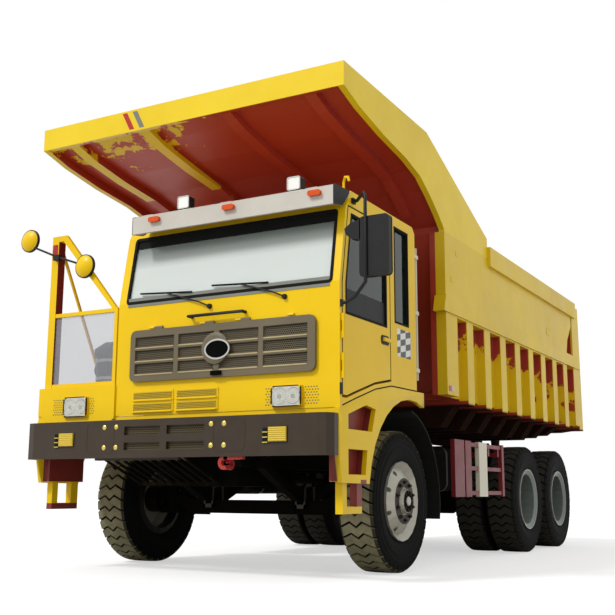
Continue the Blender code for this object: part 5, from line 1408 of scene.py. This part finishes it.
    def left_side(self, shop: Workshop) -> None:
        """Adds the left side's seals, stickers and latches."""
        x = self.left_x
        seam = strip(self.door_edge(), 0.010, "x", (x - 0.004, x + 0.0015))
        pane = self.window_edge(self.left_pane_y, self.pane_z, leans=True)
        window = strip(pane, 0.022, "x", (x - 0.020, x + 0.003))
        panel = prism(self.window_edge(*self.pane_panel), "x", (x - 0.0195, x - 0.014))
        handle = prism(round_box(*self.handle, 0.030), "x", (x - 0.001, x + 0.004))
        coats = {"seal_rubber": [seam, window], "black_plastic": [panel, handle]}
        shop.piece("door_seal_left", "door_left", coats)
        rear = strip(self.window_edge(*self.rear_pane), 0.020, "x", (x - 0.028, x + 0.003))
        ends = [(y, self.foot(y)) for y in (self.door_y[0], 0.200)]
        foot = [ends[0], *self.seam[1:-1], ends[1]]
        seam_line = prism(foot + [(y, z + 0.012) for y, z in foot[::-1]], "x", (x - 0.004, x + 0.001))
        hook = [
            (x - 0.060, -1.300, 3.478), (x - 0.060, -1.300, 3.560), (x - 0.030, -1.330, 3.600),
            (x + 0.010, -1.350, 3.590), (x + 0.020, -1.350, 3.550),
        ]
        sticker = prism(round_box(*self.sticker, 0.010, 2), "x", about(x, 0.001))
        coats = {
            "seal_rubber": [rear, seam_line],
            "chequer_vinyl": [sticker],
            "black_plastic": [box((x - 0.002, x + 0.016), *self.latch)],
            "yellow_enamel": [tube(hook, 0.012, 8)],
        }
        shop.piece("cab_side_trim", "truck", coats)

    def right_side(self, shop: Workshop) -> None:
        """Adds the right door's seals."""
        x = self.right_x
        door = self.window_edge(self.right_door_y, (self.right_door_low, self.door_top))
        seam = strip(door, 0.010, "x", (x - 0.0015, x + 0.004))
        pane = self.window_edge(self.right_pane_y, self.pane_z)
        window = strip(pane, 0.022, "x", (x - 0.003, x + 0.020))
        shop.piece("door_seal_right", "door_right", {"seal_rubber": [seam, window]})

    def build(self, shop: Workshop) -> None:
        """Builds the cab's trim."""
        for part in (self.screen, self.visor, self.left_side, self.right_side):
            part(shop)


@dataclass
class Nose:
    """The nose's mesh, lips, vents and headlamps."""

    front_y: float = -1.500
    grille_x: tuple[Span, ...] = ((-0.490, -0.020), (0.030, 0.440), (0.500, 0.930), (0.980, 1.440))
    grille_low: float = 1.880
    grille_step: float = 0.130
    grille_height: float = 0.105
    grille_rows: int = 3
    latch: tuple[Span, Span] = ((0.425, 0.535), (1.826, 1.866))
    badge: Flat = (0.492, 2.066)
    badge_reach: Flat = (0.142, 0.097)
    louvre_x: tuple[Span, ...] = ((-0.509, -0.046), (0.011, 0.467))
    louvre_z: tuple[Span, ...] = ((1.524, 1.604), (1.634, 1.714))
    # Each sill's ends across the truck, its front behind the nose's and its lower and upper end
    sills: tuple[tuple[Span, float, Span], ...] = (
        ((-0.770, 1.700), 0.006, (1.440, 1.4885)),
        ((-1.740, -0.760), -0.024, (1.440, 1.4655)),
    )
    # Each headlamp's ends across the truck, its lower and upper end and its block's front face
    headlamps: tuple[tuple[Span, Span, float], ...] = (
        ((1.070, 1.375), (1.510, 1.696), -1.525),
        ((-1.376, -1.073), (1.496, 1.696), -1.540),
    )
    # The same of each field of vent holes
    vents: tuple[tuple[Span, Span, float], ...] = (
        ((1.392, 1.545), (1.520, 1.690), -1.500),
        ((0.985, 1.055), (1.520, 1.690), -1.500),
        ((-1.545, -1.392), (1.510, 1.690), -1.520),
        ((-1.058, -0.985), (1.510, 1.690), -1.520),
    )

    def grille(self, shop: Workshop) -> None:
        """Adds the mesh, lips, badge and latch of the grille flap."""
        front = self.front_y - 0.035
        lows = [self.grille_low + self.grille_step * row for row in range(self.grille_rows)]
        cells = [(x, (z, z + self.grille_height)) for x in self.grille_x for z in lows]
        back, holes = (front + 0.022, front + 0.026), (front + 0.0205, front + 0.0225)
        # The dark discs are painted shade for the mesh's holes
        fields = [shop.bare_mesh(x, z, holes, 0.020, 0.0075, "seal_rubber") for x, z in cells]
        (at_x, at_z), (wide, high) = self.badge, self.badge_reach
        turns = [math.tau * i / 40 for i in range(40)]
        rim, bare = (
            [(at_x + (wide - by) * math.cos(turn), at_z + (high - by) * math.sin(turn)) for turn in turns]
            for by in (0.0, 0.016)
        )
        face = front - 0.020
        disc = prism(bare, "y", (face - 0.001, face + 0.004))
        latch_x, latch_z = self.latch
        latch = box(latch_x, (front - 0.026, front - 0.004), latch_z)
        coats = {
            "grille_enamel": [box(narrowed(x, -0.004), back, narrowed(z, -0.004)) for x, z in cells],
            "khaki_enamel": [
                box(narrowed(x, 0.006), about(front, 0.004), (z[0] - 0.009, z[0] + 0.004)) for x, z in cells
            ],
            "bright_steel": [strip(rim, 0.016, "y", (face - 0.004, face + 0.008))],
            "chassis_black": [disc, latch],
        }
        shop.piece("grille_trim", "grille_flap", coats, fields)

    @staticmethod
    def headlamp(x: Span, z: Span, y: float) -> Coats:
        """Draws one headlamp: bezel, bowls, bulbs and a clear lens.

        Args:
            x: Its ends across the truck.
            z: Its lower and upper ends.
            y: The front face of its block.

        Returns:
            Finish name to forms.
        """
        plate, lens = (round_box(narrowed(x, by), narrowed(z, by), 0.026 - by) for by in (0.010, 0.013))
        spots = [(x[0] + (x[1] - x[0]) * share, 0.0, (z[0] + z[1]) / 2) for share in (0.27, 0.73)]
        bowl = [(y - 0.001, 0.066), (y - 0.007, 0.072), (y - 0.001, 0.076)]
        bowls = [turned(bowl, "y", spot, 24) for spot in spots]
        corners = [(cx, cz) for cx in narrowed(x, 0.012) for cz in narrowed(z, 0.012)]
        return {
            "reflector_chrome": [prism(plate, "y", about(y, 0.002)), *bowls],
            "clear_lens": [prism(lens, "y", (y - 0.012, y - 0.009))],
            "black_plastic": [strip(round_box(x, z, 0.024), 0.007, "y", (y - 0.014, y + 0.004))],
            "yellow_enamel": [dot(corner, 0.010, (y - 0.017, y - 0.012), 8) for corner in corners],
            "bright_steel": [drum((y - 0.002, y - 0.008), (0.022, 0.014), "y", spot, 14) for spot in spots],
        }

    def louvres(self, shop: Workshop) -> None:
        """Lays the louvres' perforated plates and lips over the cab's slats, and the sills below."""
        front = self.front_y
        depth = (front - 0.0095, front - 0.007)
        holes = (front - 0.0105, front - 0.009)
        fields, vents, lips = [], [], []
        for x in self.louvre_x:
            for low, high in self.louvre_z:
                vents.append(box(x, depth, (low, high - 0.006)))
                field_z = (low + 0.004, high - 0.008)
                # The dark discs are painted shade for the plates' holes
                fields.append(shop.bare_mesh(x, field_z, holes, 0.017, 0.005, "seal_rubber"))
                lip = [
                    (front - 0.007, low - 0.012), (front - 0.024, low - 0.010),
                    (front - 0.024, low - 0.003), (front - 0.007, low + 0.006),
                ]
                lips.append(prism(lip, "x", x))
        sheet = ((front - 0.008, front - 0.001), (1.508, 1.722))
        plates = [box(narrowed(x, -0.012), *sheet) for x in self.louvre_x]
        plates += [box(x, (front + at, front + at + 0.010), z) for x, at, z in self.sills]
        # The louvres' plates get painted shade: a darker yellow than the lips
        coats = {"yellow_enamel": plates + lips, "vent_enamel": vents}
        shop.piece("nose_louvres", "truck", coats, fields)

    def build(self, shop: Workshop) -> None:
        """Builds the nose's trim."""
        self.grille(shop)
        coats = gather(self.headlamp(*sizes) for sizes in self.headlamps)
        shop.piece("headlamps", "truck", coats)
        # Darker discs on the nose are painted shade for its vent holes
        fields = [
            shop.bare_mesh(x, z, (y - 0.0015, y + 0.001), 0.028, 0.007, "grille_enamel")
            for x, z, y in self.vents
        ]
        shop.piece("nose_vents", "truck", {}, fields)
        self.louvres(shop)


@dataclass
class Fittings:
    """Trim of the mirrors, the right deck, the steps and the chassis."""

    mirror_x: Span = (1.935, 2.220)
    mirror_z: Span = (2.610, 3.150)
    cab_x: float = 1.7435
    mirror_y: Span = (-1.500, -1.430)
    round_mirrors: tuple[Flat, ...] = ((-1.991, 3.409), (-1.195, 3.044))
    # The round mirrors' arm, as (x, z)
    arm_y: float = -1.535
    arm: tuple[Flat, ...] = ((-1.960, 3.345), (-1.580, 3.185), (-1.335, 3.100), (-1.210, 3.050))
    deck_z: float = 1.8003
    # The guard's posts and rails, each as its ends on the three axes
    guard_bars: tuple[tuple[Span, Span, Span], ...] = (
        ((-1.690, -1.600), (-1.500, -1.400), (1.8003, 3.420)),
        ((-0.800, -0.760), (-1.500, -1.460), (1.8003, 2.580)),
        ((-1.598, -0.802), (-1.498, -1.462), (2.540, 2.579)),
        ((-1.598, -0.802), (-1.498, -1.462), (1.8003, 1.8403)),
    )
    cleaner_at: Point = (-1.020, -1.200, 0.0)
    clamps_z: tuple[float, ...] = (1.880, 2.060)
    grip_step: Flat = (0.028, 0.030)
    # Each tread's top, its ends across the truck and its ends along it
    treads: tuple[tuple[float, Span, Span], ...] = (
        (0.920, (1.652, 1.735), (-1.320, -1.020)),
        (1.310, (1.652, 1.735), (-1.320, -0.880)),
        (0.645, (1.642, 1.697), (-1.280, -1.115)),
    )
    # Each tank's name, side and ends on the three axes
    tanks: tuple[tuple[str, Side, Span, Span, Span], ...] = (
        ("fuel_tank", Side.RIGHT, (0.900, 1.600), (1.300, 2.900), (0.740, 1.330)),
        ("hydraulic_tank", Side.LEFT, (0.750, 1.350), (1.350, 2.250), (0.780, 1.300)),
    )
    spring_x: Span = (0.520, 0.620)
    trunnion_y: float = 4.665

    def left_mirror(self, shop: Workshop) -> None:
        """Makes the left mirror: its two heads' housing, its glass and the bent arm."""
        x, z, depth = self.mirror_x, self.mirror_z, self.mirror_y
        inner, outline = x[0], round_box(x, z, 0.036)
        hood = [
            (inner + 0.010, 3.130), (inner - 0.085, 3.105), (inner - 0.145, 3.060), (inner - 0.135, 3.010),
            (inner - 0.070, 2.955), (inner + 0.010, 2.945),
        ]
        stem = (inner + 0.065, -1.508)
        loop = [
            (1.7433, -1.240, 3.390), (1.790, -1.240, 3.390), (stem[0] - 0.030, -1.480, 3.375), (*stem, 3.330),
            (*stem, 2.560), (inner - 0.035, stem[1], 2.440), (1.793, -1.482, 2.400), (1.7433, -1.482, 2.400),
        ]
        foot = (self.cab_x, self.cab_x + 0.0215)
        feet = [box(foot, (-1.270, -1.210), (3.365, 3.415)), box(foot, (-1.498, -1.466), (2.370, 2.430))]
        hoop = strip(outline, 0.014, "y", (-1.441, -1.421))
        black = [prism(outline, "y", depth), prism(hood, "y", depth), tube(loop, 0.016, 10), *feet, hoop]
        glass = round_box(narrowed(x, 0.012), narrowed(z, 0.014), 0.030)
        coats = {"black_plastic": black, "mirror_silver": [prism(glass, "y", (-1.4325, -1.4285))]}
        shop.piece("mirror_head_left", "truck", coats, instead_of="mirror_left")

    def right_mirrors(self, shop: Workshop) -> None:
        """Makes the two round mirrors on their thin arm."""
        arm = tube([(x, self.arm_y, z) for x, z in self.arm], 0.011, 10)
        # Rim and cap of a head, each as (place along the truck, radius)
        rim = [(-1.515, 0.0), (-1.515, 0.125), (-1.538, 0.125), (-1.566, 0.060), (-1.566, 0.0)]
        cap = [
            (-1.580, 0.0), (-1.576, 0.050), (-1.556, 0.098), (-1.541, 0.116), (-1.538, 0.108), (-1.560, 0.0),
        ]
        spots = [(x, 0.0, z) for x, z in self.round_mirrors]
        clamp = box((-1.625, -1.545), (-1.552, -1.5003), (3.150, 3.205))
        coats = {
            "black_plastic": [arm, clamp, *(turned(rim, "y", spot, 32) for spot in spots)],
            "yellow_enamel": [turned(cap, "y", spot, 32) for spot in spots],
            "mirror_silver": [drum((-1.517, -1.5135), (0.115, 0.115), "y", spot, 32) for spot in spots],
        }
        shop.piece("round_mirrors_right", "truck", coats, instead_of="mirrors_right")

    def deck(self, shop: Workshop) -> None:
        """Makes the guard with its see-through screen, and adds the air cleaner's clamps."""
        foot = self.deck_z
        slope = [
            (-1.640, 3.420), (-1.640, 3.360), (-1.540, 3.360), (-0.800, 2.540), (-0.760, 2.560),
            (-1.500, 3.420),
        ]
        stay = [(-1.440, 3.400), (-1.440, 3.340), (-0.625, foot), (-0.595, foot)]
        bars = [box(*ends) for ends in self.guard_bars]
        bars += [prism(slope, "y", (-1.499, -1.461)), prism(stay, "x", (-1.655, -1.633))]
        coats = {
            "yellow_enamel": bars,
            "fine_mesh": [box((-1.605, -0.795), (-1.483, -1.477), (1.830, 2.550))],
            "red_lens": [box((-1.680, -1.612), (-1.5035, -1.4990), (3.200, 3.330))],
            "maroon_enamel": [box((-1.601, -1.5985), (-1.498, -1.402), (1.82, 3.36))],
        }
        shop.piece("deck_guard_screened", "truck", coats, instead_of="deck_guard")
        ends = [(z, z + 0.030) for z in self.clamps_z]
        clamps = [sleeve(z, (0.190, 0.195), "z", self.cleaner_at, 32) for z in ends]
        shop.piece("cleaner_clamps", "truck", {"bright_steel": clamps})

    def grips(self, shop: Workshop, side: Side) -> list[Mesh]:
        """Lays rows of raised grips on a side's treads."""
        fields = []
        (dx, dy), steps = self.grip_step, ((self.grip_step[0], 0.0, 0.0), (0.0, self.grip_step[1], 0.0))
        for z, reach, y in self.treads:
            low, high = sorted(side.value * at for at in reach)
            grip = dot((low + 0.012, y[0] + 0.012), 0.007, (z - 0.002, z + 0.004), 5, "z")
            counts = (int((high - low - 0.020) / dx) + 1, int((y[1] - y[0]) / dy))
            fields.append(shop.repeat.rows([grip], counts, steps, "skirt_enamel"))
        return fields

    def steps(self, shop: Workshop) -> None:
        """Makes the skirts with their steps: shallow wells, a stirrup below, and raised grips."""
        back = [
            (-1.450, 0.860), (-0.950, 0.860), (-0.950, 1.230), (-0.860, 1.230), (-0.720, 1.560),
            (-0.980, 1.600), (-1.450, 1.470),
        ]
        hung = [
            (-1.375, 0.880), (-1.375, 0.585), (-1.000, 0.585), (-1.000, 0.880), (-1.100, 0.880),
            (-1.100, 0.645), (-1.295, 0.645), (-1.295, 0.880),
        ]
        forms = [prism(back, "x", (1.612, 1.6405)), prism(hung, "x", (1.633, 1.703))]
        for side in Side:
            node = f"step_skirt_{side.word}"
            joined = [*self.grips(shop, side), shop.cut_copy(node, side, 1.640, "skirt_enamel")]
            coats = {"skirt_enamel": on_side(side, forms)}
            name = f"stepped_skirt_{side.word}"
            shop.piece(name, "truck", coats, joined, instead_of=node)

    def straps(self, shop: Workshop) -> None:
        """Adds straps and filler caps to the tanks."""
        for name, side, x, y, z in self.tanks:
            outline = round_box(narrowed(x, -0.003), narrowed(z, -0.003), 0.103, 5)
            straps = [strip(outline, 0.004, "y", about(at, 0.025)) for at in narrowed(y, 0.250)]
            cap = ((-0.002, 0.0), (-0.002, 0.060), (0.030, 0.060), (0.036, 0.052), (0.036, 0.0))
            filler = turned(cap, "z", (x[1] - 0.180, y[0] + 0.500, z[1]), 20)
            coats = {"dark_steel": on_side(side, straps), "bright_steel": on_side(side, [filler])}
            shop.piece(f"{name}_straps", "truck", coats)

    def springs(self, shop: Workshop) -> None:
        """Adds clamps and U-bolts to the springs."""
        x, clamps = self.spring_x, []
        for y in ((-0.120, -0.098), (0.060, 0.082)):
            clamps += [box(about(edge, 0.010), y, (0.600, 0.850)) for edge in x]
            clamps += [box(narrowed(x, -0.010), y, z) for z in ((0.820, 0.850), (0.600, 0.640))]
        for low in (self.trunnion_y - 0.110, self.trunnion_y + 0.080):
            clamps += [box(about(edge, 0.010), (low, low + 0.026), (0.860, 1.030)) for edge in x]
        shop.piece("spring_clamps", "truck", {"dark_steel": both_sides(clamps)})

    def tail(self, shop: Workshop) -> None:
        """Adds the tail lamps on the frame's end, with their brackets."""
        plate = (0.640, 0.980)
        third = (plate[1] - plate[0]) / 3
        arm = box((0.480, 1.000), (6.085, 6.125), (1.180, 1.220))
        drawn: Coats = {"chassis_black": [arm, box(plate, (6.100, 6.145), (1.130, 1.270))]}
        for i, finish in enumerate(("red_lens", "red_lens", "orange_lens")):
            x = (plate[0] + third * i, plate[0] + third * (i + 1))
            lens = prism(round_box(narrowed(x, 0.006), (1.145, 1.255), 0.012), "y", (6.143, 6.152))
            drawn.setdefault(finish, []).append(lens)
        coats = {finish: both_sides(forms) for finish, forms in drawn.items()}
        shop.piece("tail_lamps", "truck", coats)

    def build(self, shop: Workshop) -> None:
        """Builds every fitting."""
        for mirror in (self.left_mirror, self.right_mirrors):
            mirror(shop)
        for part in (self.deck, self.steps, self.straps, self.springs, self.tail):
            part(shop)


@dataclass
class RockBody:
    """Weld seams, patches, reflectors and stripes of the rock body and its canopy."""

    half_width: float = 1.827
    bay_x: float = 1.7215
    rib_first: float = 1.600
    rib_pitch: float = 0.606
    ribs: int = 8
    rib_width: float = 0.210
    belt: Span = (2.680, 2.880)
    canopy_front: float = -1.574
    # Repair plates on the upper sheet and the canopy's foot, as ends along the truck and in height
    patches: tuple[tuple[Span, Span], ...] = (
        ((1.020, 1.100), (3.060, 3.130)),
        ((1.180, 1.260), (3.390, 3.450)),
        ((4.860, 4.990), (3.020, 3.120)),
    )

    def build(self, shop: Workshop) -> None:
        """Builds the body's and the canopy's trim."""
        side_x, seam_z = self.half_width + 0.002, self.belt[1] + 0.002
        welds = [tube([(side_x, 0.90, seam_z), (side_x, 5.95, seam_z)], 0.006, 6)]
        for i in range(self.ribs):
            for y in about(self.rib_first + self.rib_pitch * i, self.rib_width / 2):
                welds.append(tube([(self.bay_x, y, 1.84), (self.bay_x, y, self.belt[0] - 0.005)], 0.006, 6))
        x = (self.half_width - 0.001, self.half_width + 0.004)
        forms = [*both_sides(welds), *(box(x, y, z) for y, z in self.patches)]
        shop.piece("body_welds", "rock_body", {"body_enamel": forms})
        plates = {"red_lens": (0.890, 0.960), "visor_gelcoat": (0.970, 1.040)}
        coats = {
            finish: both_sides([box((1.8265, 1.8300), y, (1.840, 1.900))]) for finish, y in plates.items()
        }
        shop.piece("body_reflectors", "rock_body", coats)
        front = (self.canopy_front - 0.0010, self.canopy_front + 0.0005)
        stripe = ((-0.740, 4.600), (-0.680, 4.600), (-0.580, 4.410), (-0.640, 4.410))
        coats = {
            finish: [prism([(x + shift, z) for x, z in stripe], "y", front)]
            for finish, shift in (("red_enamel", 0.0), ("band_enamel", 0.130))
        }
        shop.piece("canopy_stripes", "rock_body", coats)


# Light, floor and camera


@dataclass
class Studio:
    """A white studio: sky light, a high sun from the truck's front right, and the camera."""

    GRAIN_MM: ClassVar[float] = 333.3

    sky: float = 0.90
    sun: float = 2.1
    sun_from: Point = (-0.42, -0.72, 0.86)
    sun_size: float = math.radians(9.0)
    floor_half: float = 60.0
    lift: float = 0.55
    camera_at: Point = (5.53024889, -8.82852002, 0.78800151)
    yaw: float = math.radians(29.28243438)
    pitch: float = math.radians(10.75578198)
    roll: float = math.radians(0.25886698)
    lens: float = 56.235

    @staticmethod
    def place(name: str, data: Any) -> bpy.types.Object:
        """Puts a new object in the scene."""
        made = bpy.data.objects.new(name, data)
        bpy.context.scene.collection.objects.link(made)
        return made

    def world(self) -> None:
        """Lights the scene from a plain sky that looks white to the camera and in reflections."""
        made = bpy.data.worlds.new("studio")
        made.use_nodes = True
        tree = made.node_tree
        tree.nodes.clear()
        power = add_node(tree, RAMP, (seen_rays(tree), 0.0, 1.0, self.sky, 1.0))
        add_node(tree, "ShaderNodeOutputWorld", (add_node(tree, "ShaderNodeBackground", (WHITE, power)),))
        bpy.context.scene.world = made

    def daylight(self) -> None:
        """Hangs the sun."""
        data = bpy.data.lights.new("sun", "SUN")
        data.energy = self.sun
        data.angle = self.sun_size
        self.place("sun", data).rotation_euler = Vector(self.sun_from).to_track_quat("Z", "Y").to_euler()

    def floor(self) -> None:
        """Lays the pale floor."""
        made, tree, shader, place = new_material("studio_floor")
        grain = add_node(tree, NOISE, pattern(place, self.GRAIN_MM, 4.0))
        coat = clouded(tree, grain, (0.0, 1.0), (0.0, 1.0), ("#FDFDFC", "#FBFBFA"))
        # Seen straight or in a reflection it is white; what it throws back under the truck is dimmer
        both = add_node(tree, MIX, {0: seen_rays(tree), 6: linear("#A3A19C"), 7: coat}, data_type="RGBA")
        set_inputs(tree, shader, {"Base Color": both, "Roughness": 1.0})
        # The camera sees shadows at half their depth, as on a lit table
        glow = add_node(tree, "ShaderNodeEmission", (WHITE, 1.0))
        camera = add_node(tree, "ShaderNodeLightPath").outputs["Is Camera Ray"]
        share = add_node(tree, RAMP, (camera, 0.0, 1.0, 0.0, self.lift))
        lit = add_node(tree, "ShaderNodeMixShader", (share, shader, glow))
        set_inputs(tree, tree.nodes["Material Output"], {0: lit})
        mesh = bpy.data.meshes.new("studio_floor")
        reach = self.floor_half
        corners = [(-reach, -reach, 0.0), (reach, -reach, 0.0), (reach, reach, 0.0), (-reach, reach, 0.0)]
        mesh.from_pydata(corners, [], [(0, 1, 2, 3)])
        mesh.materials.append(made)
        self.place("studio_floor", mesh)

    def camera(self, axle: float) -> None:
        """Sets the camera where the photograph was taken from, at a place of the front axle."""
        data = bpy.data.cameras.new("camera")
        data.lens = self.lens
        data.sensor_width = 36.0
        level = math.cos(self.pitch)
        ahead = Vector((-math.sin(self.yaw) * level, math.cos(self.yaw) * level, math.sin(self.pitch)))
        right = Vector((math.cos(self.yaw), math.sin(self.yaw), 0.0))
        up = right.cross(ahead)
        across = math.cos(self.roll) * right + math.sin(self.roll) * up
        above = math.cos(self.roll) * up - math.sin(self.roll) * right
        turn = Matrix((across, above, -ahead)).transposed().to_4x4()
        made = self.place("camera", data)
        made.matrix_world = Matrix.Translation(Vector(self.camera_at) + Vector((0.0, axle, 0.0))) @ turn
        bpy.context.scene.camera = made

    def build(self, axle: float) -> None:
        """Builds the studio."""
        self.world()
        self.daylight()
        self.floor()
        self.camera(axle)
        bpy.context.scene.view_settings.view_transform = "Standard"


# Assembly


# Each finish's CAD nodes; what isn't named here is chassis black
COATS: dict[str, tuple[str, ...]] = {
    "bumper_enamel": ("front_bumper",),
    "yellow_enamel": ("cab_shell", "door_left", "door_right", "deck_box", "deck_guard"),
    "grille_enamel": ("grille_panel",),
    "side_glass": ("door_glass_left", "door_glass_right", "cab_side_glass"),
    "windscreen_glass": ("windscreen",),
    "visor_gelcoat": ("sun_visor",),
    "cab_trim": ("dashboard", "steering_wheel"),
    "seat_cloth": ("cab_seats",),
    "black_plastic": ("air_cleaner", "mirror_left", "mirrors_right"),
    "skirt_enamel": ("step_skirt_left", "step_skirt_right"),
    "maroon_enamel": ("side_guard",),
    "seal_rubber": ("mudguard_left", "mudguard_right"),
    "cream_enamel": ("cab_rear_rails",),
    "body_enamel": ("dump_body",),
    "canopy_enamel": ("body_canopy",),
    "bright_steel": ("hoist_tube_1", "hoist_tube_2", "hoist_tube_3"),
    "silver_wheel_enamel": ("rim_front_left", "rim_front_right"),
    "grey_wheel_enamel": ("rim_middle_left", "rim_middle_right", "rim_rear_left", "rim_rear_right"),
}


def dress(nodes: dict[str, bpy.types.Object], finishes: Finishes) -> None:
    """Gives every CAD node its finish.

    Args:
        nodes: The frame's nodes by name.
        finishes: The truck's finishes.
    """
    coat_of = {name: finish for finish, names in COATS.items() for name in names}
    for name, node in nodes.items():
        node.data.materials.clear()
        node.data.materials.append(finishes.get(coat_of.get(name, "chassis_black")))


def main() -> None:
    """Builds the scene from the frame up."""
    logging.basicConfig(level=logging.INFO, format="%(name)s: %(message)s")
    bpy.context.preferences.edit.use_global_undo = False
    for old in list(bpy.data.objects):
        bpy.data.objects.remove(old, do_unlink=True)
    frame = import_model()
    # The rim's middle is the axle's place
    low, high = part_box("rim_front_left")
    axle = (low.y + high.y) / 2
    finishes = Finishes()
    shop = Workshop(finishes, axle, frame["nodes"])
    dress(frame["nodes"], finishes)
    for part in (Wheels(), Bumper(), Cab(), Nose(), Fittings(), RockBody()):
        part.build(shop)
        LOG.info("built %s", type(part).__name__)
    Studio().build(axle)


if __name__ == "__main__":
    main()
